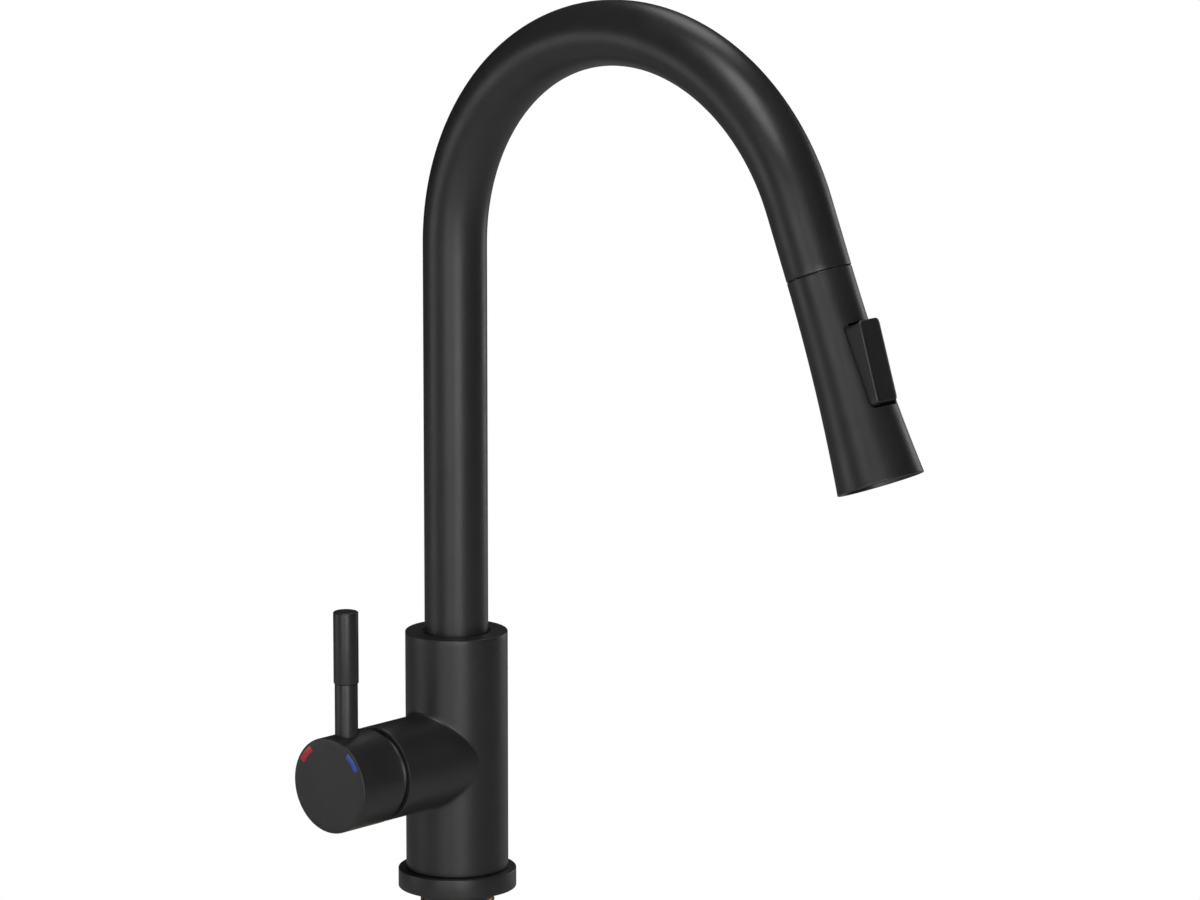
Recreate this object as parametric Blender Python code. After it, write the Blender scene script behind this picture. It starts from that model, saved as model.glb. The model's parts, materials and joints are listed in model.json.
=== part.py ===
"""Pull-down kitchen mixer tap: deck flange, valve body with a side lever, swivelling gooseneck
and a pull-out spray head on a hose. Metres, +Z up, origin on the deck under the body's axis.
The spout points along -Y and the side lever's valve along -X."""

from math import cos, pi, radians, sin, sqrt, tan

import bmesh
import bpy
from mathutils import Matrix, Vector

MM = 0.001

# ---- fits --------------------------------------------------------------------------------
GAP = 0.3 * MM  # between pieces that touch on the real tap
RUN = 0.45 * MM  # between pieces that move past each other
CUT = 1.0 * MM  # how far a cutter runs past the face that it opens
PIN_ROOM = 0.2 * MM  # round the cross pins
KEY_DEPTH = 3.0 * MM  # of the hexagon sockets in the screws

# ---- how many sides the round pieces have --------------------------------------------------
HEXAGON = 6
PEG_SIDES = 8
HOLE_SIDES = 12
PIPE_SIDES = 16
END_SIDES = 20
TUBE_SIDES = 22
FITTING_SIDES = 24
VALVE_SIDES = 28
RING_SIDES = 32
FACE_SIDES = 36
BODY_SIDES = 40
BEND_STEPS = 18
SHARP = radians(35)  # edges that turn more than this stay sharp

# ---- spout -------------------------------------------------------------------------------
TUBE_R = 14.0 * MM
TUBE_WALL = 1.5 * MM
RISER_TOP = 287.6 * MM  # where the gooseneck's bend begins
ARC_R = 101.5 * MM
END_TILT = radians(22.0)  # of the spout's end and the spray head, from straight down
TAIL = 29.2 * MM  # straight stretch after the bend

# ---- valve body and deck flange ----------------------------------------------------------
BODY_R = 22.55 * MM
SOCKET_DEPTH = 34.1 * MM  # of the spout's socket in the top of the body
FLANGE_STEP = 3.5 * MM  # how far the flange stands out past the body
FLANGE_H = 8.6 * MM
FLANGE_LIP = 2.0 * MM  # height and width of the lip that centres the body
EDGE = 0.5 * MM  # chamfer on turned edges
GASKET_W = 3.4 * MM
GASKET_H = 1.2 * MM
GASKET_RIM = 1.5 * MM  # flat rim of the flange outside the gasket
SWIVEL_W = 2.3 * MM  # room around the tube for the swivel's bush, foot and ring
FLOOR_RISE = 0.4 * MM  # of the socket's floor above the boss
WASHER_H = 2.0 * MM
LOCK_SCREW_R = 2.3 * MM
FOOT_H = 17.0 * MM
SWIVEL_RING = 1.7 * MM  # thickness of the swivel's O-ring
FOOT_GROOVE = 1.0 * MM  # depth of the groove that the lock screw runs in

# ---- fixing under the deck ---------------------------------------------------------------
SHANK_WALL = 2.4 * MM
SHANK_IN = 15.0 * MM  # length screwed into the body
SHANK_BELOW = 48.0 * MM
DECK = 20.0 * MM  # thickness of the worktop that the fixing is set to
CLAMP_W = 8.6 * MM
CLAMP_GASKET_H = 3.0 * MM
CLAMP_WASHER_H = 1.7 * MM
NUT_H = 9.0 * MM
NUT_WALL = 5.6 * MM  # at the flats
THREAD_ROOM = 0.4 * MM  # between the shank and what slides or screws on it

# ---- waterways ---------------------------------------------------------------------------
HOSE_R = 5.5 * MM
HOSE_WALL = 2.3 * MM
HOSE_ROOM = 1.1 * MM  # between the hose and the passage it slides in
WEB = 0.6 * MM  # least wall between neighbouring drillings
PORT_R = 2.4 * MM
HOT_COLD_TURN = radians(120.0)  # from +X to the hot drilling; the cold one mirrors it
FEED_R = 2.2 * MM
FEED_SIDE = 7.5 * MM  # of the hot and cold feeds, sideways from the valve's axis
FEED_UP = 5.0 * MM  # of the hot and cold feeds, above the valve's axis
FEED_DOWN = 5.5 * MM  # of the mixed feed, below the valve's axis
TAIL_R = 3.0 * MM
TAIL_BORE = 1.9 * MM
TAIL_IN = 8.0 * MM  # length screwed into the body
TAIL_BELOW = 57.0 * MM
TAIL_ROOM = 0.5 * MM  # between the tails and the shank's bore
BEAD_R = 0.35 * MM  # how far the bead near a tail's end stands out
BEAD_UP = 5.0 * MM  # from the tail's end to the bead
BEAD_HALF = 1.0 * MM

# ---- side valve: distances are from the body's axis, outwards ------------------------------
VALVE_Z = 60.05 * MM
BOSS_STEP = 1.6 * MM  # how much smaller the boss is than the body
BOSS_WALL = 2.05 * MM
BOSS_END = 52.2 * MM
POCKET_STEP = 1.1 * MM  # from the nut's thread in to the cartridge
HOUSING_WALL = 2.6 * MM
PORT_GASKET_H = 1.2 * MM
PORT_GASKET_IN = 1.5 * MM  # from the cartridge's rim in to the gasket's
CARTRIDGE_BASE_H = 3.2 * MM
PEG_R = 1.4 * MM  # of the two pegs that stop the cartridge turning
PEG_L = 1.7 * MM
PEG_DOWN = 7.0 * MM  # of the pegs, below the valve's axis
PEG_SIDE = 10.5 * MM  # of the pegs, sideways from the valve's axis
DISC_H = 3.2 * MM
DISC_SLIDE = 1.4 * MM  # room round the moving disc
MOVING_DISC_H = 2.6 * MM
BOWL_R = 7.1 * MM  # hollow under the moving disc that joins the feeds
CARRIER_H = 4.2 * MM
CARRIER_IN = 0.4 * MM  # from the disc's rim in to the carrier's
GUIDE_STEP = 2.0 * MM  # how much smaller the guide is than the discs
PIVOT_IN_GUIDE = 4.3 * MM
SPINDLE_SIDE = 7.0 * MM
SPINDLE_LEAN = radians(12.5)  # how far the spindle leans up when the tap is shut
SPINDLE_BACK = 3.6 * MM  # square part of the spindle behind its pivot
BALL_R = 1.9 * MM
BALL_NECK_R = 1.4 * MM
PIN_R = 1.2 * MM
PIN_IN = 2.5 * MM  # from the guide's rim in to the pin's end
NECK_IN = 2.0 * MM  # from the boss's end in to the cartridge's neck
SHOULDER_IN = 8.6 * MM  # from the boss's end in to the cartridge's shoulder
NECK_STEP = 0.9 * MM
NECK_WALL = 2.3 * MM
DOME_WALL = 1.4 * MM
DOME_ROOM = 2.0 * MM  # between the dome and the hub's floor
DOME_MOUTH_R = 10.5 * MM

# ---- side lever --------------------------------------------------------------------------
HUB_STEP = 0.1 * MM  # how much wider the hub is than the boss
GROOVE = 2.6 * MM  # between the boss and the hub
HUB_BLOCK = 19.0 * MM  # solid part of the hub, from its floor to its face
HUB_SKIRT_WALL = 2.05 * MM
ROD_IN = 11.0 * MM  # from the hub's face in to the rod's axis
ROD_R = 5.04 * MM
GRIP_R = 5.48 * MM
ROD_L = 22.9 * MM  # bare rod between the hub and the grip
GRIP_L = 31.6 * MM
ROD_SEAT_DEPTH = 1.55 * MM
ROD_STUD_R = 3.0 * MM
ROD_STUD_L = 6.5 * MM
ROD_CORE_R = 4.0 * MM
GRIP_CAP = 4.6 * MM
SOCKET_BACK = 6.0 * MM  # how far the spindle's socket is open behind the hub's floor
SET_SCREW_IN = 4.0 * MM  # from the hub's floor to the set screw
SET_SCREW_L = 12.0 * MM
PLUG_H = 3.0 * MM
MARK_EDGE = 1.3 * MM  # from the marks to the hub's rim
MARK_W = 2.7 * MM
MARK_H = 0.6 * MM
MARK_FROM = radians(35.5)
MARK_TO = radians(61.0)
MARK_STEPS = 6

# ---- spray head: distances are from the seam with the spout, along the head's axis ---------
HEAD_L = 91.3 * MM
HEAD_FLARE = 4.73 * MM  # how much wider the outlet's radius is than the tube's
HEAD_WALL = 1.6 * MM
SEAM = 0.35 * MM
SHOULDER_H = 3.0 * MM
SPIGOT_END = -13.0 * MM
WATER_STEP = 0.7 * MM  # how much wider the spigot's bore is than the hose's
STRIKE_W = 2.6 * MM
STRIKE_H = 1.1 * MM
STRIKE_PROUD = 0.1 * MM  # towards the magnet
DOCK_WALL = 1.8 * MM
DOCK_TOP = -22.0 * MM
DOCK_ROOM = 0.9 * MM  # between the hose's nut and the dock
MAGNET_H = 4.3 * MM
HOSE_NUT_TOP = -20.7 * MM
HOSE_NUT_END = -7.7 * MM
HOSE_NUT_LID = 4.0 * MM
HOSE_NUT_WALL = 1.9 * MM
FERRULE_WALL = 1.1 * MM
FERRULE_L = 12.0 * MM
CORE_WALL = 2.9 * MM
CORE_FLANGE_H = 3.0 * MM
SPOOL_R = 2.85 * MM
SPOOL_L = 20.0 * MM
SPOOL_ENDS = 3.0 * MM  # bore past each end of the spool
SPOOL_RING_AT = 2.0 * MM  # from the spool's end to its ring's groove
SPOOL_RING_W = 1.8 * MM
SPOOL_RING_DEPTH = 0.8 * MM
SPOOL_RING_H = 0.9 * MM  # thickness of the ring
SPOOL_RING_SEAT = 0.1 * MM
SPOOL_NECK_R = 1.4 * MM
SPOOL_NECK_HALF = 1.9 * MM  # half of the neck's length, which the button's cam sits in
VALVE_BORE_R = 1.6 * MM  # of the check valve
VALVE_IN = 1.5 * MM  # from the spigot's end in to the check valve
CHAMBER_L = 19.0 * MM
CHAMBER_ROOM = 0.55 * MM  # between the chamber and the shell
CHAMBER_WALL = 1.4 * MM
CHAMBER_END = 7.8 * MM  # from the outlet's rim back to the chamber's mouth
PLATE_IN = 5.7 * MM  # from the outlet's rim back to the plate's inner side
PLATE_H = 2.2 * MM
MAT_H = 1.5 * MM
NOZZLE_R = 0.75 * MM
NOZZLE_ROOM = 0.2 * MM
NOZZLE_PROUD = 0.5 * MM
NOZZLE_RINGS = ((14, 2.6 * MM), (8, 6.0 * MM))  # how many, and how far in from the plate's rim
AERATOR_IN = 8.9 * MM  # from the plate's rim in to the aerator
AERATOR_H = 8.2 * MM
AERATOR_WALL = 1.0 * MM
AERATOR_PROUD = 0.4 * MM  # past the plate
AERATOR_LIP = 1.2 * MM
AERATOR_LIP_H = 2.0 * MM
AERATOR_MOUTH = 1.5 * MM  # how much smaller the passage behind the aerator is
SCREEN_IN = 1.4 * MM
SCREEN_H = 0.8 * MM

# ---- spray button: a rocker on the head's outer side ---------------------------------------
BUTTON_AT = 43.0 * MM  # pivot, along the head
BUTTON_L = 35.0 * MM
BUTTON_W = 15.2 * MM
BUTTON_FACE_W = 13.0 * MM
BUTTON_SUNK = 1.85 * MM  # underside, below the shell's inner face
BUTTON_PIN_DROP = 2.6 * MM  # from the underside in to the pivot
BUTTON_PROUD = 5.0 * MM  # face above the shell at the end nearer the spout
BUTTON_DIP = 0.25 * MM  # face below the shell at the end nearer the outlet
BUTTON_LEAN = 0.8 * MM  # how far the end walls lean in
BUTTON_CORNER = 1.4 * MM
BUTTON_SWING = 0.35 * MM  # extra room where the high end swings
STEM_L = 14.0 * MM
EAR_W = 1.5 * MM
EAR_TOP = 0.4 * MM  # of the ears past the pin
EAR_HALF = 3.0 * MM  # half of the ears' length along the head
STEM_BOTTOM = 2.2 * MM  # from the pivot in to the stem's end
STEM_JOIN = 0.5 * MM
CAM_HALF_W = 1.4 * MM
CAM_HALF_L = 1.0 * MM
CAM_TIP = 1.7 * MM  # outwards from the head's axis
CAM_ROOT = 1.5 * MM  # from the pivot in to where the cam leaves the stem
CAM_SLOT_HALF_W = 2.0 * MM
CAM_SLOT_FROM = 1.5 * MM  # outwards from the head's axis
WINDOW_FROM = 2.0 * MM  # outwards from the head's axis, as is the next
WINDOW_TO = 30.0 * MM
CORNER_STEPS = 3

# ---- hose ------------------------------------------------------------------------------------

HOSE_BELOW = 62.0 * MM
COUPLING_L = 27.0 * MM
COUPLING_COLLAR = 2.5 * MM  # how far the coupling's collar stands out past the hose
COUPLING_COLLAR_L = 5.4 * MM
COUPLING_THREAD_IN = 1.0 * MM  # how much smaller than the hose the coupling's thread is
COUPLING_CRIMP = 0.9 * MM
RISER_STEPS = 8


def head_radius(along):
    """Outer radius of the spray head: the tube's at the seam, flaring as the square of the distance."""
    return TUBE_R + HEAD_FLARE * (along / HEAD_L) ** 2


# ---- what follows from those sizes ---------------------------------------------------------
BOSS_R = BODY_R - BOSS_STEP
HUB_R = BOSS_R + HUB_STEP
NUT_R = BOSS_R - BOSS_WALL - GAP
CARTRIDGE_R = NUT_R - POCKET_STEP
POCKET_R = CARTRIDGE_R + GAP
DISC_R = CARTRIDGE_R - GAP - HOUSING_WALL - 2 * GAP
MOVING_DISC_R = DISC_R - DISC_SLIDE
GUIDE_R = DISC_R - GUIDE_STEP
NECK_R = GUIDE_R + NECK_STEP
FLANGE_R = BODY_R + FLANGE_STEP
SOCKET_R = TUBE_R + SWIVEL_W
SOCKET_FLOOR = VALVE_Z + BOSS_R + FLOOR_RISE
BODY_TOP = SOCKET_FLOOR + SOCKET_DEPTH
TUBE_FOOT = SOCKET_FLOOR + GAP + WASHER_H + GAP
TUBE_BORE = TUBE_R - TUBE_WALL
HOSE_BORE = HOSE_R - HOSE_WALL
HOSE_PASSAGE = HOSE_R + HOSE_ROOM
PORT_CIRCLE = HOSE_PASSAGE + WEB + GAP + TAIL_R  # centres of the drillings, from the body's axis
SHANK_BORE = PORT_CIRCLE + TAIL_R + TAIL_ROOM
SHANK_R = SHANK_BORE + SHANK_WALL
CLAMP_R = SHANK_R + CLAMP_W
POCKET_FLOOR = PORT_CIRCLE + PORT_R + WEB
BASE_AT = POCKET_FLOOR + GAP + PORT_GASKET_H + GAP
FIXED_DISC_AT = BASE_AT + CARTRIDGE_BASE_H + GAP
MOVING_DISC_AT = FIXED_DISC_AT + DISC_H + GAP
CARRIER_AT = MOVING_DISC_AT + MOVING_DISC_H + GAP
GUIDE_AT = CARRIER_AT + CARRIER_H + GAP
SPINDLE_PIVOT = GUIDE_AT + PIVOT_IN_GUIDE
BALL_ARM = SPINDLE_PIVOT - CARRIER_AT - CARRIER_H / 2
DISC_AT_REST = -BALL_ARM * sin(SPINDLE_LEAN)
HOUSING_SHOULDER = BOSS_END - SHOULDER_IN
NECK_END = BOSS_END - NECK_IN
GUIDE_H = HOUSING_SHOULDER - POCKET_STEP - GUIDE_AT
HUB_START = BOSS_END + GROOVE
DOME_R = sqrt(NUT_R**2 + (BOSS_END - SPINDLE_PIVOT) ** 2)  # round the spindle's pivot
HUB_FLOOR = SPINDLE_PIVOT + DOME_R + DOME_ROOM
HUB_END = HUB_FLOOR + HUB_BLOCK
ROD_AT = HUB_END - ROD_IN
SPINDLE_OUT = ROD_AT - SPINDLE_PIVOT
SET_SCREW_AT = HUB_FLOOR + SET_SCREW_IN
MARK_R = HUB_R - MARK_EDGE - MARK_W / 2
ROD_SEAT = HUB_R - ROD_SEAT_DEPTH  # these four are above the valve's axis
ROD_STUD_END = ROD_SEAT - ROD_STUD_L
ROD_SHOULDER = HUB_R + ROD_L
GRIP_TOP = ROD_SHOULDER + GRIP_L
DOCK_R = TUBE_BORE - GAP - DOCK_WALL
HOSE_NUT_R = DOCK_R - DOCK_ROOM
SPIGOT_R = HOSE_NUT_R - HOSE_NUT_WALL - GAP
WATER_BORE = HOSE_BORE + WATER_STEP
STRIKE_R = TUBE_BORE - GAP - STRIKE_W
CORE_R = SPOOL_R + RUN + CORE_WALL
CHAMBER_TO = HEAD_L - CHAMBER_END
CHAMBER_FROM = CHAMBER_TO - CHAMBER_L
CHAMBER_R = head_radius(CHAMBER_FROM) - HEAD_WALL - CHAMBER_ROOM
PLATE_FROM = HEAD_L - PLATE_IN
PLATE_R = head_radius(PLATE_FROM) - HEAD_WALL - GAP
AERATOR_R = PLATE_R - AERATOR_IN
SPOOL_FROM = BUTTON_AT - SPOOL_L / 2
SPOOL_TO = BUTTON_AT + SPOOL_L / 2
BUTTON_HIGH = head_radius(BUTTON_AT - BUTTON_L / 2) + BUTTON_PROUD
BUTTON_LOW = head_radius(BUTTON_AT + BUTTON_L / 2) - BUTTON_DIP
BUTTON_FOOT = head_radius(BUTTON_AT) - HEAD_WALL - BUTTON_SUNK
BUTTON_PIVOT = BUTTON_FOOT - BUTTON_PIN_DROP  # outwards from the head's axis, as are these four
EAR_DEPTH = BUTTON_PIVOT + PIN_R + EAR_TOP
EAR_OUT = sqrt((head_radius(BUTTON_AT) - HEAD_WALL - GAP) ** 2 - EAR_DEPTH**2)
EAR_IN = EAR_OUT - EAR_W
LOCK_Z = TUBE_FOOT + GAP + FOOT_H / 2
SEAM_Y = ARC_R * (1 + cos(END_TILT)) + TAIL * sin(END_TILT)
SEAM_Z = RISER_TOP + ARC_R * sin(END_TILT) - TAIL * cos(END_TILT)


# ---- shared tools --------------------------------------------------------------------------
def clear_scene():
    for thing in list(bpy.data.objects):
        bpy.data.objects.remove(thing)


def material(name, colour, roughness, metallic):
    made = bpy.data.materials.get(name) or bpy.data.materials.new(name)
    made.use_nodes = True
    shader = made.node_tree.nodes["Principled BSDF"]
    shader.inputs["Base Color"].default_value = (*colour, 1)
    shader.inputs["Roughness"].default_value = roughness
    shader.inputs["Metallic"].default_value = metallic
    return made


def black_coat():
    return material("matt_black_coat", (0.022, 0.022, 0.023), 0.42, 0.3)


def brass():
    return material("brass", (0.62, 0.45, 0.2), 0.35, 1.0)


def steel():
    return material("steel", (0.62, 0.62, 0.6), 0.35, 1.0)


def rubber():
    return material("rubber", (0.03, 0.03, 0.03), 0.75, 0.0)


def grey_plastic():
    return material("grey_plastic", (0.35, 0.36, 0.37), 0.5, 0.0)


def black_plastic():
    return material("black_plastic", (0.02, 0.02, 0.021), 0.45, 0.0)


def ceramic():
    return material("ceramic", (0.82, 0.8, 0.74), 0.25, 0.0)


def empty(name, parent=None, location=(0, 0, 0), rotation=(0, 0, 0)):
    made = bpy.data.objects.new(name, None)
    bpy.context.scene.collection.objects.link(made)
    made.parent = parent
    made.location = location
    made.rotation_euler = rotation
    return made


def finished(name, shape, look, parent=None, location=(0, 0, 0), rotation=(0, 0, 0)):
    """An object from a bmesh, with its faces turned outwards and its round sides smooth."""
    bmesh.ops.recalc_face_normals(shape, faces=shape.faces)
    mesh = bpy.data.meshes.new(name)
    shape.to_mesh(mesh)
    shape.free()
    mesh.shade_smooth()
    mesh.set_sharp_from_angle(angle=SHARP)
    mesh.materials.append(look)
    made = bpy.data.objects.new(name, mesh)
    bpy.context.scene.collection.objects.link(made)
    made.parent = parent
    made.location = location
    made.rotation_euler = rotation
    return made


def spun(profile, sides):
    """A bmesh turned about local Z from (radius, height) points, closed by the axis or by itself."""
    shape = bmesh.new()
    points = [shape.verts.new((r, 0, z)) for r, z in profile]
    pairs = zip(points, points[1:] + points[:1])
    on_axis = [(a, b) for a, b in pairs if a.co.x > 0 or b.co.x > 0]
    lines = [shape.edges.new(pair) for pair in on_axis]
    bmesh.ops.spin(shape, geom=points + lines, axis=(0, 0, 1), angle=2 * pi, steps=sides, use_merge=True)
    bmesh.ops.remove_doubles(shape, verts=shape.verts, dist=1e-6)
    return shape


def turned(name, profile, sides, look, **place):
    return finished(name, spun(profile, sides), look, **place)


def ring_profile(inner, outer, low, high):
    return [(inner, low), (outer, low), (outer, high), (inner, high)]


def rod_profile(radius, low, high):
    return [(0, low), (radius, low), (radius, high), (0, high)]


def o_ring_profile(radius, height, half):
    """Six points round the section of a ring that is twice half thick."""
    turns = [2 * pi * k / HEXAGON for k in range(HEXAGON)]
    return [(radius + half * cos(t), height + half * sin(t)) for t in turns]


def cutter(name, shape, **place):
    """A helper that a Boolean uses, kept out of renders."""
    made = finished(name, shape, black_coat(), **place)
    made.hide_render = True
    made.display_type = "WIRE"
    return made


def drill(name, radius, low, high, sides, **place):
    return cutter(name, spun(rod_profile(radius, low, high), sides), **place)


def block(low, high):
    """A bmesh box between two corners."""
    shape = bmesh.new()
    bmesh.ops.create_cube(shape, size=1)
    size = Vector(high) - Vector(low)
    middle = (Vector(high) + Vector(low)) / 2
    place = Matrix.Translation(middle) @ Matrix.Diagonal((*size, 1))
    bmesh.ops.transform(shape, matrix=place, verts=shape.verts)
    return shape


def combine(piece, other, operation="DIFFERENCE"):
    step = piece.modifiers.new(other.name, "BOOLEAN")
    step.operation = operation
    step.solver = "EXACT"
    step.object = other


def swept(stations, sides, outer, inner):
    """A bmesh pipe along (centre, tangent) stations that lie in the YZ plane."""
    shape = bmesh.new()
    across = Vector((1, 0, 0))

    def wall(radius):
        rings = []
        for centre, along in stations:
            up = along.cross(across)
            turns = [2 * pi * k / sides for k in range(sides)]
            spokes = [cos(t) * across + sin(t) * up for t in turns]
            rings.append([shape.verts.new(centre + radius * spoke) for spoke in spokes])
        return rings

    def join(first, second):
        for k in range(sides):
            following = (k + 1) % sides
            shape.faces.new((first[k], first[following], second[following], second[k]))

    outside, inside = wall(outer), wall(inner)
    for rings in (outside, inside):
        for first, second in zip(rings, rings[1:]):
            join(first, second)
    join(outside[0], inside[0])
    join(outside[-1], inside[-1])
    return shape


# ---- the spout's line ----------------------------------------------------------------------
def bend_stations(steps):
    """(centre, tangent) through the gooseneck's bend, from the riser to the tail."""
    found = []
    for k in range(steps + 1):
        turn = (pi - END_TILT) * k / steps
        centre = Vector((0, -ARC_R * (1 - cos(turn)), RISER_TOP + ARC_R * sin(turn)))
        found.append((centre, Vector((0, -sin(turn), cos(turn)))))
    return found


def head_axis_point(along):
    """A point on the spray head's axis, which the tail shares; negative is inside the spout."""
    return Vector((0, -SEAM_Y - along * sin(END_TILT), SEAM_Z - along * cos(END_TILT)))


def down_the_head():
    return Vector((0, -sin(END_TILT), -cos(END_TILT)))


# ---- body and deck -------------------------------------------------------------------------
def make_faucet_body(valve_axis):
    foot = FLANGE_H + GAP
    lip_top, lip_r = foot + FLANGE_LIP + GAP, SHANK_R + FLANGE_LIP + 2 * GAP
    shank_top, shank_r = foot + SHANK_IN, SHANK_R + GAP
    outline = [
        (lip_r, foot),
        (BODY_R - EDGE, foot),
        (BODY_R, foot + EDGE),
        (BODY_R, BODY_TOP - EDGE),
        (BODY_R - EDGE, BODY_TOP),
        (SOCKET_R, BODY_TOP),
        (SOCKET_R, SOCKET_FLOOR),
        (HOSE_PASSAGE, SOCKET_FLOOR),
        (HOSE_PASSAGE, shank_top),
        (shank_r, shank_top),
        (shank_r, lip_top),
        (lip_r, lip_top),
    ]
    body = turned("faucet_body", outline, BODY_SIDES, black_coat())
    root = (HOSE_PASSAGE + sqrt(BODY_R**2 - BOSS_R**2)) / 2
    boss = [(0, root), (BOSS_R, root), (BOSS_R, BOSS_END - EDGE), (BOSS_R - EDGE, BOSS_END), (0, BOSS_END)]
    combine(body, cutter("boss_form", spun(boss, FACE_SIDES), parent=valve_axis), "UNION")
    bore = [
        (0, POCKET_FLOOR),
        (POCKET_R, POCKET_FLOOR),
        (POCKET_R, HOUSING_SHOULDER),
        (NUT_R + GAP, HOUSING_SHOULDER),
        (NUT_R + GAP, BOSS_END + CUT),
        (0, BOSS_END + CUT),
    ]
    combine(body, cutter("valve_bore", spun(bore, VALVE_SIDES), parent=valve_axis))
    behind = {"location": (0, 0, LOCK_Z), "rotation": (-pi / 2, 0, 0)}
    hole = drill("lock_drill", LOCK_SCREW_R + GAP, SOCKET_R - CUT, BODY_R + CUT, HOLE_SIDES, **behind)
    combine(body, hole)
    return body


def make_waterways(body, valve_axis):
    """Hot, cold and mixed drillings up from the shank, each with a feed into the valve's pocket."""
    start = FLANGE_H + GAP + SHANK_IN
    feeds = []
    for name, turn, up, side in (
        ("hot", HOT_COLD_TURN, FEED_UP, FEED_SIDE),
        ("cold", -HOT_COLD_TURN, FEED_UP, -FEED_SIDE),
        ("mixed", pi, -FEED_DOWN, 0),
    ):
        x, y = PORT_CIRCLE * cos(turn), PORT_CIRCLE * sin(turn)
        spot = (x, y, 0)
        riser_top = VALVE_Z + up + FEED_R + CUT
        combine(body, drill(f"{name}_riser", PORT_R, start, riser_top, HOLE_SIDES, location=spot))
        tail_top = start + TAIL_IN
        hole = drill(f"{name}_tail_drill", TAIL_R + GAP, start - CUT, tail_top, PIPE_SIDES, location=spot)
        combine(body, hole)
        line = {"parent": valve_axis, "location": (up, side, 0)}
        feed = drill(f"{name}_feed", FEED_R, GAP - x, MOVING_DISC_AT - GAP / 2, HOLE_SIDES, **line)
        combine(body, feed)
        feeds.append(feed)
        make_tail(name, spot, tail_top - GAP)
    return feeds


def make_tail(name, spot, top):
    """A stiff pipe down through the shank, with a bead near its end for the hose that goes on it."""
    low, bead_at = -TAIL_BELOW, BEAD_UP - TAIL_BELOW
    outline = [
        (TAIL_BORE, low),
        (TAIL_R, low),
        (TAIL_R, bead_at - BEAD_HALF),
        (TAIL_R + BEAD_R, bead_at),
        (TAIL_R, bead_at + BEAD_HALF),
        (TAIL_R, top),
        (TAIL_BORE, top),
    ]
    turned(f"{name}_tail", outline, PIPE_SIDES, brass(), location=spot)


def make_base_flange():
    hole, lip = SHANK_R + GAP, SHANK_R + GAP + FLANGE_LIP
    groove_out = FLANGE_R - EDGE - GASKET_RIM
    groove_in = groove_out - GASKET_W - 2 * GAP
    outline = [
        (hole, 0),
        (groove_in, 0),
        (groove_in, GASKET_H + GAP),
        (groove_out, GASKET_H + GAP),
        (groove_out, 0),
        (FLANGE_R - EDGE, 0),
        (FLANGE_R, EDGE),
        (FLANGE_R, FLANGE_H - EDGE),
        (FLANGE_R - EDGE, FLANGE_H),
        (lip, FLANGE_H),
        (lip, FLANGE_H + FLANGE_LIP),
        (hole, FLANGE_H + FLANGE_LIP),
    ]
    turned("base_flange", outline, FACE_SIDES, black_coat())
    gasket = ring_profile(groove_in + GAP, groove_out - GAP, 0, GASKET_H)
    turned("deck_gasket", gasket, RING_SIDES, rubber())


def make_deck_fixing():
    bottom, top = -SHANK_BELOW, FLANGE_H + SHANK_IN
    turned("threaded_shank", ring_profile(SHANK_BORE, SHANK_R, bottom, top), FITTING_SIDES, brass())
    hole = SHANK_R + THREAD_ROOM
    gasket_low = -DECK - CLAMP_GASKET_H
    turned("clamp_gasket", ring_profile(hole, CLAMP_R, gasket_low, -DECK), FITTING_SIDES, rubber())
    washer_low = gasket_low - GAP - CLAMP_WASHER_H
    form = ring_profile(hole, CLAMP_R, washer_low, gasket_low - GAP)
    turned("clamp_washer", form, FITTING_SIDES, steel())
    nut_high = washer_low - GAP
    corner = (SHANK_R + NUT_WALL) * 2 / sqrt(3)
    nut = turned("mounting_nut", rod_profile(corner, nut_high - NUT_H, nut_high), HEXAGON, brass())
    combine(nut, drill("mounting_nut_drill", hole, nut_high - NUT_H - CUT, nut_high + CUT, RING_SIDES))


def make_swivel(spout_axis):
    """Bush, O-ring and thrust washer of the turning spout, its foot and the screw that keeps it in."""
    outer, inner = SOCKET_R - GAP, TUBE_R + GAP
    floor = SOCKET_FLOOR + GAP
    washer = ring_profile(HOSE_PASSAGE + GAP, outer, floor, floor + WASHER_H)
    turned("thrust_washer", washer, RING_SIDES, grey_plastic())
    foot_low = TUBE_FOOT + GAP
    foot_high = foot_low + FOOT_H
    groove_r = outer - FOOT_GROOVE
    groove_low, groove_high = LOCK_Z - LOCK_SCREW_R - 2 * GAP, LOCK_Z + LOCK_SCREW_R + 2 * GAP
    foot = [
        (inner, foot_low),
        (outer, foot_low),
        (outer, groove_low),
        (groove_r, groove_low),
        (groove_r, groove_high),
        (outer, groove_high),
        (outer, foot_high),
        (inner, foot_high),
    ]
    turned("spout_foot", foot, RING_SIDES, brass(), parent=spout_axis)
    half = min(SWIVEL_RING, outer - inner) / 2
    ring = o_ring_profile((outer + inner) / 2, foot_high + GAP + SWIVEL_RING / 2, half)
    turned("swivel_o_ring", ring, RING_SIDES, rubber(), parent=spout_axis)
    bush_low = foot_high + GAP + SWIVEL_RING + GAP
    form = ring_profile(inner, outer, bush_low, BODY_TOP - EDGE)
    turned("swivel_bush", form, RING_SIDES, black_plastic())
    behind = {"location": (0, 0, LOCK_Z), "rotation": (-pi / 2, 0, 0)}
    stem = rod_profile(LOCK_SCREW_R, groove_r + GAP, BODY_R - EDGE)
    screw = turned("spout_lock_screw", stem, HOLE_SIDES, steel(), **behind)
    hole = drill("lock_key", LOCK_SCREW_R / 2, BODY_R - KEY_DEPTH, BODY_R + CUT, HEXAGON, **behind)
    combine(screw, hole)


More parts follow.
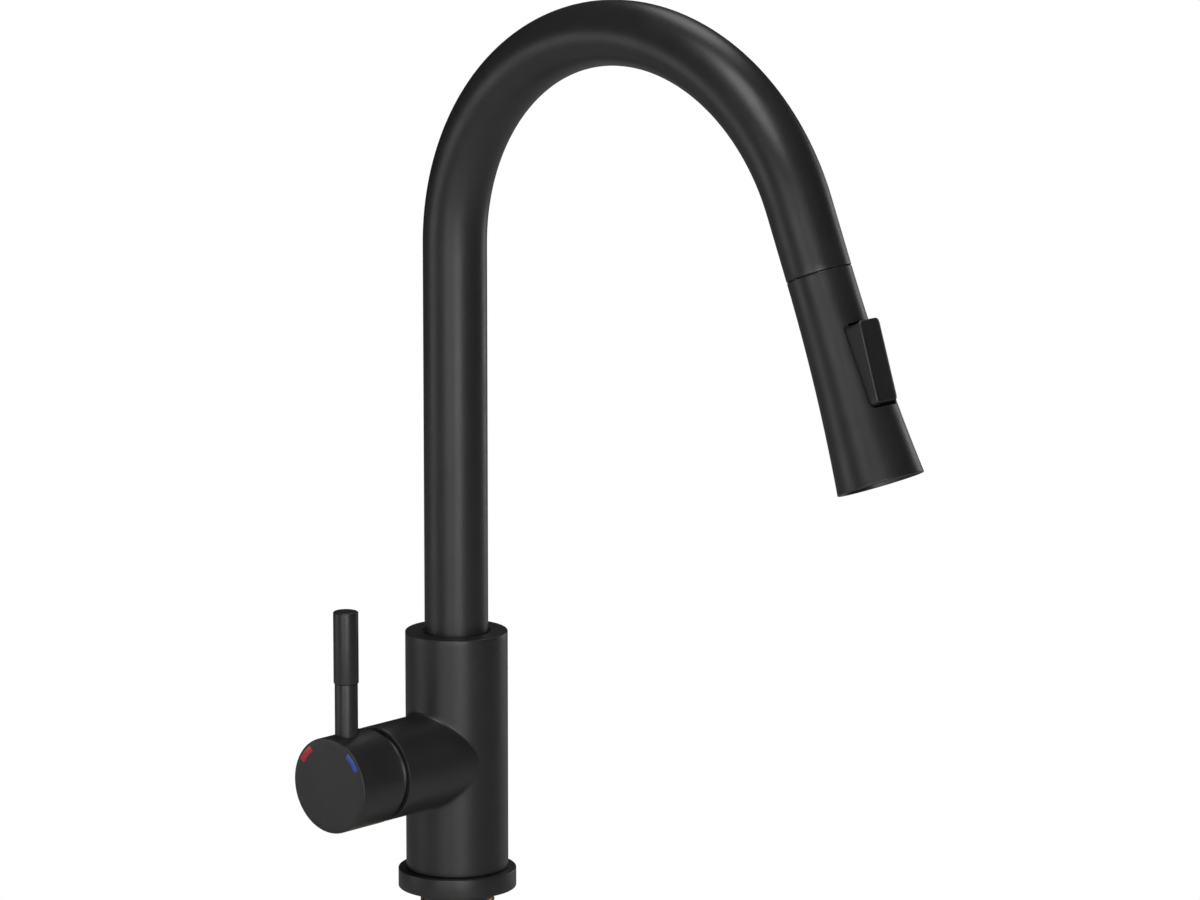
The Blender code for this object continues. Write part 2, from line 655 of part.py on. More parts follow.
# ---- valve cartridge -----------------------------------------------------------------------
def make_cartridge_base(body, feeds, valve_axis):
    """Seal, base and fixed ceramic disc, each with the three feeds through it."""
    on_axis = {"parent": valve_axis}
    seal_low = POCKET_FLOOR + GAP
    seal_form = rod_profile(CARTRIDGE_R - PORT_GASKET_IN, seal_low, seal_low + PORT_GASKET_H)
    seal = turned("port_gasket", seal_form, VALVE_SIDES, rubber(), **on_axis)
    base_form = rod_profile(CARTRIDGE_R - GAP, BASE_AT, BASE_AT + CARTRIDGE_BASE_H)
    base = turned("cartridge_base", base_form, VALVE_SIDES, grey_plastic(), **on_axis)
    disc_form = rod_profile(DISC_R, FIXED_DISC_AT, FIXED_DISC_AT + DISC_H)
    disc = turned("fixed_disc", disc_form, VALVE_SIDES, ceramic(), **on_axis)
    tip = POCKET_FLOOR - PEG_L
    for name, side in (("left", -1), ("right", 1)):
        place = {"parent": valve_axis, "location": (-PEG_DOWN, side * PEG_SIDE, 0)}
        peg = drill(f"{name}_peg_form", PEG_R, tip, BASE_AT + CUT, PEG_SIDES, **place)
        hole = drill(f"{name}_peg_drill", PEG_R + GAP, tip - GAP, BASE_AT - GAP / 2, PEG_SIDES, **place)
        combine(base, peg, "UNION")
        combine(body, hole)
        combine(seal, hole)
    for piece in (seal, base, disc):
        for feed in feeds:
            combine(piece, feed)


def make_cartridge_housing(valve_axis):
    shoulder = HOUSING_SHOULDER
    guide_top = GUIDE_AT + GUIDE_H + GAP
    outline = [
        (DISC_R + 2 * GAP, FIXED_DISC_AT),
        (CARTRIDGE_R - GAP, FIXED_DISC_AT),
        (CARTRIDGE_R - GAP, shoulder),
        (NECK_R, shoulder),
        (NECK_R, NECK_END),
        (NECK_R - NECK_WALL, NECK_END),
        (NECK_R - NECK_WALL, guide_top),
        (GUIDE_R + RUN, guide_top),
        (GUIDE_R + RUN, GUIDE_AT),
        (DISC_R + 2 * GAP, GUIDE_AT),
    ]
    turned("cartridge_housing", outline, VALVE_SIDES, grey_plastic(), parent=valve_axis)


def make_cartridge_nut(valve_axis):
    low = HOUSING_SHOULDER + GAP
    outline = ring_profile(NECK_R + GAP, NUT_R, low, NECK_END + GAP)
    turned("cartridge_nut", outline, RING_SIDES, brass(), parent=valve_axis)


def make_trim_dome(valve_axis):
    """The ring seen in the gap behind the lever: part of a ball round the spindle's pivot."""
    skirt_low = NECK_END + 2 * GAP + PIN_ROOM
    first = (BOSS_END - SPINDLE_PIVOT) / DOME_R
    last = sqrt(1 - (DOME_MOUTH_R / DOME_R) ** 2)
    steps = 3
    rises = [first + (last - first) * k / steps for k in range(steps + 1)]
    inner_r = DOME_R - DOME_WALL

    def on_ball(radius, rise):
        return radius * sqrt(1 - rise**2), SPINDLE_PIVOT + radius * rise

    outer = [on_ball(DOME_R, rise) for rise in rises]
    inner = [on_ball(inner_r, rise) for rise in reversed(rises)]
    outline = [(inner[-1][0], skirt_low), (outer[0][0], skirt_low), *outer, *inner]
    turned("trim_dome", outline, VALVE_SIDES, black_coat(), parent=valve_axis)


def make_moving_disc(valve_axis):
    """The ceramic disc that the spindle slides and turns, and the carrier on its back."""
    place = {"parent": valve_axis, "location": (DISC_AT_REST, 0, 0)}
    low, high = MOVING_DISC_AT, MOVING_DISC_AT + MOVING_DISC_H
    bowl_top = (low + high) / 2
    outline = [
        (0, bowl_top),
        (BOWL_R, bowl_top),
        (BOWL_R, low),
        (MOVING_DISC_R, low),
        (MOVING_DISC_R, high),
        (0, high),
    ]
    turned("moving_disc", outline, FITTING_SIDES, ceramic(), **place)
    carrier = ring_profile(BALL_R + RUN, MOVING_DISC_R - CARRIER_IN, CARRIER_AT, CARRIER_AT + CARRIER_H)
    turned("disc_carrier", carrier, FITTING_SIDES, grey_plastic(), **place)


def make_spindle_guide(valve_axis):
    """The turning guide that carries the spindle's cross pin."""
    form = rod_profile(GUIDE_R, GUIDE_AT, GUIDE_AT + GUIDE_H)
    guide = turned("spindle_guide", form, VALVE_SIDES, grey_plastic(), parent=valve_axis)
    half = SPINDLE_SIDE / 2
    reach = (GUIDE_AT + GUIDE_H - SPINDLE_PIVOT) * tan(SPINDLE_LEAN) + half / cos(SPINDLE_LEAN) + RUN
    slot = block((-reach, -half - RUN, GUIDE_AT - CUT), (reach, half + RUN, GUIDE_AT + GUIDE_H + CUT))
    combine(guide, cutter("guide_slot", slot, parent=valve_axis))
    across = {"parent": valve_axis, "location": (0, 0, SPINDLE_PIVOT), "rotation": (pi / 2, 0, 0)}
    hole = drill("guide_pin_drill", PIN_R + PIN_ROOM, -GUIDE_R - CUT, GUIDE_R + CUT, HOLE_SIDES, **across)
    combine(guide, hole)
    half_pin = GUIDE_R - PIN_IN
    turned("spindle_pin", rod_profile(PIN_R, -half_pin, half_pin), HOLE_SIDES, steel(), **across)


# ---- side lever ----------------------------------------------------------------------------
def make_spindle(pivot):
    """Square bar with a ball on its inner end, which moves the disc."""
    half, back = SPINDLE_SIDE / 2, SPINDLE_BACK
    lean = {"parent": pivot, "rotation": (0, SPINDLE_LEAN, 0)}
    bar = finished("spindle", block((-half, -half, -back), (half, half, SPINDLE_OUT)), brass(), **lean)
    slant = BALL_R * 0.7  # near enough to cos 45 for a ball of six facets
    tip = [
        (0, -BALL_ARM - BALL_R),
        (slant, -BALL_ARM - slant),
        (BALL_R, -BALL_ARM),
        (slant, -BALL_ARM + slant),
        (BALL_NECK_R, -back),
        (BALL_NECK_R, CUT - back),
        (0, CUT - back),
    ]
    combine(bar, cutter("ball_form", spun(tip, HOLE_SIDES), **lean), "UNION")
    across = {"parent": pivot, "rotation": (pi / 2, 0, 0)}
    hole = drill("spindle_pin_drill", PIN_R + PIN_ROOM, -SPINDLE_SIDE, SPINDLE_SIDE, HOLE_SIDES, **across)
    combine(bar, hole)


def along_hub(distance):
    """A distance from the body's axis, as the lever's own frame has it."""
    return distance - SPINDLE_PIVOT


def mark_sector(side, grow, low, high):
    """A bmesh bar bent round the hub's axis, on one side of the lever."""
    shape = bmesh.new()
    inner, outer = MARK_R - MARK_W / 2 - grow, MARK_R + MARK_W / 2 + grow
    spread = grow / MARK_R
    start, sweep = MARK_FROM - spread, MARK_TO - MARK_FROM + 2 * spread
    turns = [start + sweep * k / MARK_STEPS for k in range(MARK_STEPS + 1)]
    rim = [(outer * cos(t), side * outer * sin(t)) for t in turns]
    rim += [(inner * cos(t), side * inner * sin(t)) for t in reversed(turns)]
    floor = shape.faces.new([shape.verts.new((x, y, low)) for x, y in rim])
    raised = bmesh.ops.extrude_face_region(shape, geom=[floor])["geom"]
    top = [thing for thing in raised if isinstance(thing, bmesh.types.BMVert)]
    bmesh.ops.translate(shape, vec=(0, 0, high - low), verts=top)
    return shape


def make_handle_hub(pivot):
    start, end, floor = along_hub(HUB_START), along_hub(HUB_END), along_hub(HUB_FLOOR)
    skirt = HUB_R - HUB_SKIRT_WALL
    outline = [
        (0, floor),
        (skirt, floor),
        (skirt, start),
        (HUB_R, start),
        (HUB_R, end - EDGE),
        (HUB_R - EDGE, end),
        (0, end),
    ]
    hub = turned("handle_hub", outline, BODY_SIDES, black_coat(), parent=pivot)
    half = SPINDLE_SIDE / 2 + GAP
    socket = block((-half, -half, floor - SOCKET_BACK), (half, half, SPINDLE_OUT + GAP))
    combine(hub, cutter("spindle_socket", socket, parent=pivot, rotation=(0, SPINDLE_LEAN, 0)))
    upright = {"parent": pivot, "location": (0, 0, along_hub(ROD_AT)), "rotation": (0, pi / 2, 0)}
    hole = drill("rod_seat_drill", ROD_R + GAP, ROD_SEAT - GAP, HUB_R + CUT, FITTING_SIDES, **upright)
    combine(hub, hole)
    hole = drill("rod_stud_drill", ROD_STUD_R + GAP, ROD_STUD_END - GAP, HUB_R, PIPE_SIDES, **upright)
    combine(hub, hole)
    screw_line = {"parent": pivot, "location": (0, 0, along_hub(SET_SCREW_AT)), "rotation": (0, pi / 2, 0)}
    tip = along_hub(SET_SCREW_AT) * tan(SPINDLE_LEAN) - SPINDLE_SIDE / 2 / cos(SPINDLE_LEAN) - 2 * GAP
    hole = drill("set_screw_drill", LOCK_SCREW_R + GAP, -HUB_R - CUT, tip + CUT, HOLE_SIDES, **screw_line)
    combine(hub, hole)
    make_set_screw(tip, screw_line)
    red, blue = (0.55, 0.015, 0.03), (0.02, 0.06, 0.42)
    for name, side, colour in (("hot_mark", 1, red), ("cold_mark", -1, blue)):
        pocket = mark_sector(side, GAP, end - MARK_H - GAP, end + CUT)
        combine(hub, cutter(f"{name}_pocket", pocket, parent=pivot))
        enamel = material(f"{name}_enamel", colour, 0.35, 0.0)
        finished(name, mark_sector(side, 0, end - MARK_H, end), enamel, parent=pivot)


def make_set_screw(tip, screw_line):
    end = tip - SET_SCREW_L
    form = rod_profile(LOCK_SCREW_R, end, tip)
    screw = turned("handle_set_screw", form, HOLE_SIDES, steel(), **screw_line)
    hole = drill("set_screw_key", LOCK_SCREW_R / 2, end - CUT, end + KEY_DEPTH, HEXAGON, **screw_line)
    combine(screw, hole)
    rim = sqrt(HUB_R**2 - LOCK_SCREW_R**2) - GAP
    form = rod_profile(LOCK_SCREW_R, -rim, PLUG_H - rim)
    turned("screw_plug", form, HOLE_SIDES, black_plastic(), **screw_line)


def make_lever(pivot):
    upright = {"parent": pivot, "location": (0, 0, along_hub(ROD_AT)), "rotation": (0, pi / 2, 0)}
    core_top = GRIP_TOP - GRIP_CAP - GAP
    shoulder = ROD_SHOULDER - GAP
    rod = [
        (0, ROD_STUD_END),
        (ROD_STUD_R, ROD_STUD_END),
        (ROD_STUD_R, ROD_SEAT),
        (ROD_R, ROD_SEAT),
        (ROD_R, shoulder),
        (ROD_CORE_R, shoulder),
        (ROD_CORE_R, core_top),
        (0, core_top),
    ]
    turned("lever_rod", rod, FITTING_SIDES, black_coat(), **upright)
    bore = ROD_CORE_R + GAP
    grip = [
        (bore, ROD_SHOULDER),
        (GRIP_R, ROD_SHOULDER),
        (GRIP_R, GRIP_TOP - EDGE),
        (GRIP_R - EDGE, GRIP_TOP),
        (0, GRIP_TOP),
        (0, GRIP_TOP - GRIP_CAP),
        (bore, GRIP_TOP - GRIP_CAP),
    ]
    turned("lever_grip", grip, FITTING_SIDES, black_coat(), **upright)


# ---- spout ---------------------------------------------------------------------------------
def make_spout_tube(spout_axis):
    stations = [(Vector((0, 0, TUBE_FOOT)), Vector((0, 0, 1)))]
    stations += bend_stations(BEND_STEPS)
    stations.append((head_axis_point(0), down_the_head()))
    pipe = swept(stations, TUBE_SIDES, TUBE_R, TUBE_BORE)
    finished("spout_tube", pipe, black_coat(), parent=spout_axis)


def make_dock(seam):
    """Insert and magnet in the spout's end, which hold the spray head when it is put away."""
    outer = TUBE_BORE - GAP
    magnet_top = -GAP - MAGNET_H
    insert = ring_profile(DOCK_R, outer, DOCK_TOP, magnet_top - GAP)
    turned("dock_insert", insert, FITTING_SIDES, black_plastic(), parent=seam)
    form = ring_profile(DOCK_R, outer, magnet_top, -GAP)
    turned("dock_magnet", form, FITTING_SIDES, steel(), parent=seam)


def hose_line():
    """Points of the hose's centre line, from the spray head's ferrule to the coupling under the deck."""
    points = [head_axis_point(HOSE_NUT_TOP - GAP - FERRULE_L - 3 * GAP)]
    points += [centre for centre, _ in reversed(bend_stations(BEND_STEPS))][1:]
    drop = (RISER_TOP + HOSE_BELOW) / RISER_STEPS
    points += [Vector((0, 0, RISER_TOP - drop * k)) for k in range(1, RISER_STEPS + 1)]
    return points


def make_pull_hose(spout_axis):
    points = hose_line()
    curve = bpy.data.curves.new("pull_hose", "CURVE")
    curve.dimensions = "3D"
    curve.bevel_depth = HOSE_R
    curve.bevel_resolution = 2
    curve.use_fill_caps = True
    line = curve.splines.new("POLY")
    line.points.add(len(points) - 1)
    for spot, point in zip(line.points, points):
        spot.co = (*point, 1)
    curve.materials.append(material("hose_braid", (0.06, 0.06, 0.065), 0.6, 0.0))
    hose = bpy.data.objects.new("pull_hose", curve)
    bpy.context.scene.collection.objects.link(hose)
    hose.parent = spout_axis


def make_hose_coupling():
    top = -HOSE_BELOW - GAP
    low = top - COUPLING_L
    thread, collar, crimp = HOSE_R - COUPLING_THREAD_IN, HOSE_R + COUPLING_COLLAR, HOSE_R + COUPLING_CRIMP
    collar_low = low + COUPLING_L / 2
    outline = [
        (0, low),
        (thread, low),
        (thread, collar_low),
        (collar, collar_low),
        (collar, collar_low + COUPLING_COLLAR_L),
        (crimp, collar_low + COUPLING_COLLAR_L),
        (crimp, top),
        (0, top),
    ]
    turned("hose_coupling", outline, END_SIDES, brass())


def make_hose_end(seam):
    """Crimped ferrule, swivel nut and washer that join the hose to the spray head."""
    bore = HOSE_BORE
    top = HOSE_NUT_TOP - GAP - FERRULE_L
    ferrule = ring_profile(bore, HOSE_R + FERRULE_WALL, top, HOSE_NUT_TOP - GAP)
    turned("hose_ferrule", ferrule, END_SIDES, steel(), parent=seam)
    thread = SPIGOT_R + GAP
    lid = HOSE_NUT_TOP + HOSE_NUT_LID
    nut = [
        (bore, HOSE_NUT_TOP),
        (HOSE_NUT_R, HOSE_NUT_TOP),
        (HOSE_NUT_R, HOSE_NUT_END),
        (thread, HOSE_NUT_END),
        (thread, lid),
        (bore, lid),
    ]
    turned("hose_nut", nut, END_SIDES, brass(), parent=seam)
    washer = ring_profile(WATER_BORE, SPIGOT_R - GAP, lid + GAP, SPIGOT_END - GAP)
    turned("hose_washer", washer, END_SIDES, rubber(), parent=seam)


# ---- spray head ----------------------------------------------------------------------------
def button_window(grow):
    """A bmesh prism of the button's outline in plan, with rounded corners, through the shell's wall."""
    half_w, half_l = BUTTON_W / 2 + grow, BUTTON_L / 2 + grow
    shape = block((-half_w, WINDOW_FROM, -half_l - BUTTON_SWING), (half_w, WINDOW_TO, half_l))
    round_corners(shape, BUTTON_CORNER + grow)
    return shape


def round_corners(shape, radius):
    """Rounds the edges of a bmesh block that run outwards, along Y."""
    runs = [(edge, edge.verts[0].co - edge.verts[1].co) for edge in shape.edges]
    outwards = [edge for edge, run in runs if abs(run.y) > max(abs(run.x), abs(run.z))]
    bmesh.ops.bevel(
        shape, geom=outwards, offset=radius, segments=CORNER_STEPS, profile=0.5, affect="EDGES"
    )


def make_spray_shell(head, rocker):
    steps = 5
    stops = [SEAM + (HEAD_L - SEAM) * k / steps for k in range(steps + 1)]
    inner_stops = [SHOULDER_H + (HEAD_L - SHOULDER_H) * k / steps for k in range(steps + 1)]
    outer = [(head_radius(t), t) for t in stops]
    inner = [(head_radius(t) - HEAD_WALL, t) for t in reversed(inner_stops)]
    hole = SPIGOT_R + 2 * GAP
    recess_in, recess_out, recess_h = STRIKE_R - GAP, TUBE_BORE, SEAM + STRIKE_H + GAP
    seat = [(hole, SHOULDER_H), (hole, SEAM)]
    recess = [(recess_in, SEAM), (recess_in, recess_h), (recess_out, recess_h), (recess_out, SEAM)]
    outline = [*outer, *inner, *seat, *recess]
    shell = turned("spray_shell", outline, RING_SIDES, black_coat(), parent=head)
    window = cutter("button_window", button_window(RUN), parent=rocker, location=(0, -BUTTON_PIVOT, 0))
    combine(shell, window)
    strike = ring_profile(STRIKE_R, recess_out - GAP, SEAM - STRIKE_PROUD, SEAM + STRIKE_H)
    turned("strike_ring", strike, FITTING_SIDES, steel(), parent=head)


def make_spray_core(head):
    """Waterway of the spray head: inlet spigot, diverter bore, pin ears and the spray chamber."""
    flange_low = SHOULDER_H + GAP
    flange_high = flange_low + CORE_FLANGE_H
    flange_r = head_radius(flange_low) - HEAD_WALL - GAP
    spool_bore = SPOOL_R + RUN
    bore_low, bore_high = SPOOL_FROM - SPOOL_ENDS, SPOOL_TO + SPOOL_ENDS
    mouth = AERATOR_R - AERATOR_MOUTH
    floor = CHAMBER_FROM + CHAMBER_WALL
    outline = [
        (WATER_BORE, SPIGOT_END),
        (SPIGOT_R, SPIGOT_END),
        (SPIGOT_R, flange_low),
        (flange_r, flange_low),
        (flange_r, flange_high),
        (CORE_R, flange_high),
        (CORE_R, CHAMBER_FROM),
        (CHAMBER_R, CHAMBER_FROM),
        (CHAMBER_R, CHAMBER_TO),
        (CHAMBER_R - CHAMBER_WALL, CHAMBER_TO),
        (CHAMBER_R - CHAMBER_WALL, floor),
        (mouth, floor),
        (mouth, bore_high),
        (spool_bore, bore_high),
        (spool_bore, bore_low),
        (WATER_BORE, bore_low),
    ]
    core = turned("spray_core", outline, FITTING_SIDES, grey_plastic(), parent=head)
    low, high = BUTTON_AT - EAR_HALF, BUTTON_AT + EAR_HALF
    yoke = block((-EAR_OUT, spool_bore + WEB, low), (EAR_OUT, EAR_DEPTH, high))
    swing = STEM_L / 2 + CUT
    room = block((-EAR_IN, CORE_R - CUT, BUTTON_AT - swing), (EAR_IN, EAR_DEPTH + CUT, BUTTON_AT + swing))
    combine(core, cutter("yoke_form", yoke, parent=head), "UNION")
    combine(core, cutter("yoke_room", room, parent=head))
    slot = block((-CAM_SLOT_HALF_W, CAM_SLOT_FROM, low - CUT), (CAM_SLOT_HALF_W, EAR_DEPTH, high + CUT))
    combine(core, cutter("cam_slot", slot, parent=head))
    pin_line = {"parent": head, "location": (0, BUTTON_PIVOT, BUTTON_AT), "rotation": (0, pi / 2, 0)}
    hole = drill("ear_drill", PIN_R + PIN_ROOM, -EAR_OUT - CUT, EAR_OUT + CUT, HOLE_SIDES, **pin_line)
    combine(core, hole)
    form = rod_profile(PIN_R, GAP - EAR_OUT, EAR_OUT - GAP)
    turned("button_pin", form, HOLE_SIDES, steel(), **pin_line)
    valve = ring_profile(VALVE_BORE_R, WATER_BORE - GAP, SPIGOT_END + VALVE_IN, SHOULDER_H)
    turned("check_valve", valve, PIPE_SIDES, grey_plastic(), parent=head)


def make_diverter(head):
    """The spool that the button's cam pushes to change from stream to spray."""
    groove_low = SPOOL_FROM + SPOOL_RING_AT
    groove_high = groove_low + SPOOL_RING_W
    groove_r = SPOOL_R - SPOOL_RING_DEPTH
    cam_low, cam_high = BUTTON_AT - SPOOL_NECK_HALF, BUTTON_AT + SPOOL_NECK_HALF
    outline = [
        (0, SPOOL_FROM),
        (SPOOL_R, SPOOL_FROM),
        (SPOOL_R, groove_low),
        (groove_r, groove_low),
        (groove_r, groove_high),
        (SPOOL_R, groove_high),
        (SPOOL_R, cam_low),
        (SPOOL_NECK_R, cam_low),
        (SPOOL_NECK_R, cam_high),
        (SPOOL_R, cam_high),
        (SPOOL_R, SPOOL_TO),
        (0, SPOOL_TO),
    ]
    turned("diverter_spool", outline, PIPE_SIDES, brass(), parent=head)
    half = SPOOL_RING_H / 2
    ring = o_ring_profile(groove_r + SPOOL_RING_SEAT + half, (groove_low + groove_high) / 2, half)
    turned("spool_o_ring", ring, PIPE_SIDES, rubber(), parent=head)


def make_spray_button(rocker):
    """A wedge that stands proud at the spout end; local Z runs down the head, Y outwards."""
    foot = BUTTON_FOOT - BUTTON_PIVOT
    high, low = BUTTON_HIGH - BUTTON_PIVOT, BUTTON_LOW - BUTTON_PIVOT
    shape = block((-BUTTON_W / 2, foot, -BUTTON_L / 2), (BUTTON_W / 2, high, BUTTON_L / 2))
    for corner in shape.verts:
        if corner.co.y > foot + CUT:
            near_spout = corner.co.z < 0
            corner.co.x *= BUTTON_FACE_W / BUTTON_W
            corner.co.y = high if near_spout else low
            corner.co.z += BUTTON_LEAN if near_spout else -BUTTON_LEAN
    round_corners(shape, BUTTON_CORNER)
    button = finished("spray_button", shape, black_coat(), parent=rocker)
    half_w, half_l = EAR_IN - RUN, STEM_L / 2
    stem = block((-half_w, -STEM_BOTTOM, -half_l), (half_w, foot + STEM_JOIN, half_l))
    cam = block((-CAM_HALF_W, CAM_TIP - BUTTON_PIVOT, -CAM_HALF_L), (CAM_HALF_W, -CAM_ROOT, CAM_HALF_L))
    combine(button, cutter("button_stem", stem, parent=rocker), "UNION")
    combine(button, cutter("button_cam", cam, parent=rocker), "UNION")
    pin_line = {"parent": rocker, "rotation": (0, pi / 2, 0)}
    hole = drill("button_pin_drill", PIN_R + PIN_ROOM, -BUTTON_W, BUTTON_W, HOLE_SIDES, **pin_line)
    combine(button, hole)


def nozzle_spots():
    for count, inset in NOZZLE_RINGS:
        radius = PLATE_R - inset
        for k in range(count):
            turn = 2 * pi * (k + 0.5) / count
            yield radius * cos(turn), radius * sin(turn)


def studs(radius, low, high):
    """A bmesh of one small prism at each nozzle."""
    shape = bmesh.new()
    for x, y in nozzle_spots():
        spot = Matrix.Translation((x, y, (low + high) / 2))
        size = {"segments": HEXAGON, "radius1": radius, "radius2": radius, "depth": high - low}
        bmesh.ops.create_cone(shape, cap_ends=True, matrix=spot, **size)
    return shape


def make_spray_face(head):
    hole = AERATOR_R + GAP
    plate_form = ring_profile(hole, PLATE_R, PLATE_FROM, PLATE_FROM + PLATE_H)
    plate = turned("nozzle_plate", plate_form, FACE_SIDES, black_plastic(), parent=head)
    holes = studs(NOZZLE_R + NOZZLE_ROOM, PLATE_FROM - CUT, PLATE_FROM + PLATE_H + CUT)
    combine(plate, cutter("nozzle_drill", holes, parent=head))
    mat_low = PLATE_FROM - GAP - MAT_H
    mat_form = ring_profile(hole, PLATE_R - GAP, mat_low, mat_low + MAT_H)
    mat_look = material("nozzle_rubber", (0.12, 0.12, 0.12), 0.7, 0.0)
    mat = turned("nozzle_mat", mat_form, FACE_SIDES, mat_look, parent=head)
    nubs = studs(NOZZLE_R, mat_low + MAT_H / 2, PLATE_FROM + PLATE_H + NOZZLE_PROUD)
    combine(mat, cutter("nozzle_form", nubs, parent=head), "UNION")
    top = PLATE_FROM + PLATE_H + AERATOR_PROUD
    low = top - AERATOR_H
    wall = AERATOR_R - AERATOR_WALL
    lip_r, lip_top = wall - AERATOR_LIP, low + AERATOR_LIP_H
    aerator = [
        (lip_r, low),
        (AERATOR_R, low),
        (AERATOR_R, top),
        (wall, top),
        (wall, lip_top),
        (lip_r, lip_top),
    ]
    turned("aerator_ring", aerator, FITTING_SIDES, black_plastic(), parent=head)
    screen = top - SCREEN_IN
    form = rod_profile(wall - GAP, screen, screen + SCREEN_H)
    turned("aerator_screen", form, FITTING_SIDES, steel(), parent=head)


def main():
    clear_scene()
    valve_axis = empty("valve_axis", location=(0, 0, VALVE_Z), rotation=(0, -pi / 2, 0))
    spindle_pivot = empty("spindle_pivot", valve_axis, location=(0, 0, SPINDLE_PIVOT))
    spout_axis = empty("spout_axis")
    seam = empty("spout_end", spout_axis, location=head_axis_point(0), rotation=(pi - END_TILT, 0, 0))
    rocker = empty("button_pivot", seam, location=(0, BUTTON_PIVOT, BUTTON_AT))

    body = make_faucet_body(valve_axis)
    feeds = make_waterways(body, valve_axis)
    make_base_flange()
    make_deck_fixing()
    make_swivel(spout_axis)

    make_cartridge_base(body, feeds, valve_axis)
    make_cartridge_housing(valve_axis)
    make_cartridge_nut(valve_axis)
    make_trim_dome(valve_axis)
    make_moving_disc(valve_axis)
    make_spindle_guide(valve_axis)
    make_spindle(spindle_pivot)
    make_handle_hub(spindle_pivot)
    make_lever(spindle_pivot)

    make_spout_tube(spout_axis)
    make_dock(seam)
    make_pull_hose(spout_axis)
    make_hose_coupling()
    make_hose_end(seam)
    make_spray_shell(seam, rocker)
    make_spray_core(seam)
    make_diverter(seam)
    make_spray_button(rocker)
    make_spray_face(seam)


main()
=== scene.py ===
# Pull-down kitchen faucet in satin black: its finished pieces, their looks and the studio.
import json
from math import acos, asin, atan2, ceil, cos, hypot, pi, radians, sin, sqrt

import bmesh
import bpy
from mathutils import Matrix, Vector


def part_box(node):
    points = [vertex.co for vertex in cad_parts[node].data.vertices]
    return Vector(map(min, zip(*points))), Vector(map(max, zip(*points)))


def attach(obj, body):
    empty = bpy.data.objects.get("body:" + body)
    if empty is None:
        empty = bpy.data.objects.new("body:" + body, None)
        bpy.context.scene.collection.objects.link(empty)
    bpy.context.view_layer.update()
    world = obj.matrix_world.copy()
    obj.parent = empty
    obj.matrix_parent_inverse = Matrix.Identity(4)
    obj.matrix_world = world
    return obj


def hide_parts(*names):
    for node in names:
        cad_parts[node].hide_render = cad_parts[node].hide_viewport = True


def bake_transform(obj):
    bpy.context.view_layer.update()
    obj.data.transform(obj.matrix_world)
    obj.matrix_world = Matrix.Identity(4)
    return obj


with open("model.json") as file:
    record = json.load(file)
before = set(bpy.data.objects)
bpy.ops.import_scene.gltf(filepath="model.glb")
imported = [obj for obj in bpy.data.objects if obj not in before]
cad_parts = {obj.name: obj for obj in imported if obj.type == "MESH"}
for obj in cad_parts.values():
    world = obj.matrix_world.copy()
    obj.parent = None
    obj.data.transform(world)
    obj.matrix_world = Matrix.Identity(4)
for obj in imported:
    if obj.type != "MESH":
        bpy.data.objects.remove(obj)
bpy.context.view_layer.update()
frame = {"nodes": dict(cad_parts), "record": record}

mm = 0.001
joints = {joint["name"]: joint for joint in frame["record"]["behaviour"]["joints"]}


def boxOf(node):
    low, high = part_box(node)
    return Vector(low), Vector(high)


def widthOf(node, axis=0):
    low, high = boxOf(node)
    return high[axis] - low[axis]


tubeR = widthOf("spout_tube") / 2
bodyTop = boxOf("faucet_body")[1].z
bodyFoot = boxOf("faucet_body")[0].z
bodyR = boxOf("faucet_body")[1].x
bossR = bodyR - 1.6 * mm
bossEnd = -boxOf("faucet_body")[0].x
hubR = widthOf("handle_hub", 1) / 2
hubEnd = -boxOf("handle_hub")[0].x
hubStart = -boxOf("handle_hub")[1].x
valveZ = sum(corner.z for corner in boxOf("handle_hub")) / 2
headDown = Vector(joints["head_pull"]["axis"]).normalized()
headTilt = atan2(-headDown.y, -headDown.z)
pullOut = joints["head_pull"]["range_m"][1]
spoutBend = {"riserTop": 287.6 * mm, "bendR": 101.5 * mm, "tail": 29.2 * mm}

# local Y is -X, the valve's side
uprightAxis = Matrix(((0, -1, 0, 0), (1, 0, 0, 0), (0, 0, 1, 0), (0, 0, 0, 1)))
# local Z runs outwards, local X up
valveAxis = Matrix(((0, 0, -1, 0), (0, 1, 0, 0), (1, 0, 0, valveZ), (0, 0, 0, 1)))
seam = Vector((
    0,
    -spoutBend["bendR"] * (1 + cos(headTilt)) - spoutBend["tail"] * sin(headTilt),
    spoutBend["riserTop"] + spoutBend["bendR"] * sin(headTilt) - spoutBend["tail"] * cos(headTilt),
))
headOut = Vector((0, headDown.z, -headDown.y))  # the button's side
headAxis = Matrix((
    (1, headOut.x, headDown.x, seam.x),
    (0, headOut.y, headDown.y, seam.y),
    (0, headOut.z, headDown.z, seam.z),
    (0, 0, 0, 1),
))


def soften(outline, parts=5):  # (radius, height) corners; a third value rounds that corner
    smooth = []
    count = len(outline)
    for index, point in enumerate(outline):
        here = Vector(point[:2])
        if len(point) < 3:
            smooth.append(here)
            continue
        before = (Vector(outline[index - 1][:2]) - here).normalized()
        after = (Vector(outline[(index + 1) % count][:2]) - here).normalized()
        half = before.angle(after) / 2
        reach = point[2] / max(1e-6, abs(sin(half))) * cos(half)
        centre = here + (before + after).normalized() * point[2] / abs(sin(half))
        first = here + before * reach - centre
        last = here + after * reach - centre
        for step in range(parts + 1):
            share = step / parts
            turn = first.angle(last)
            mix = first * sin((1 - share) * turn) / sin(turn) + last * sin(share * turn) / sin(turn)
            smooth.append(centre + mix)
    return smooth


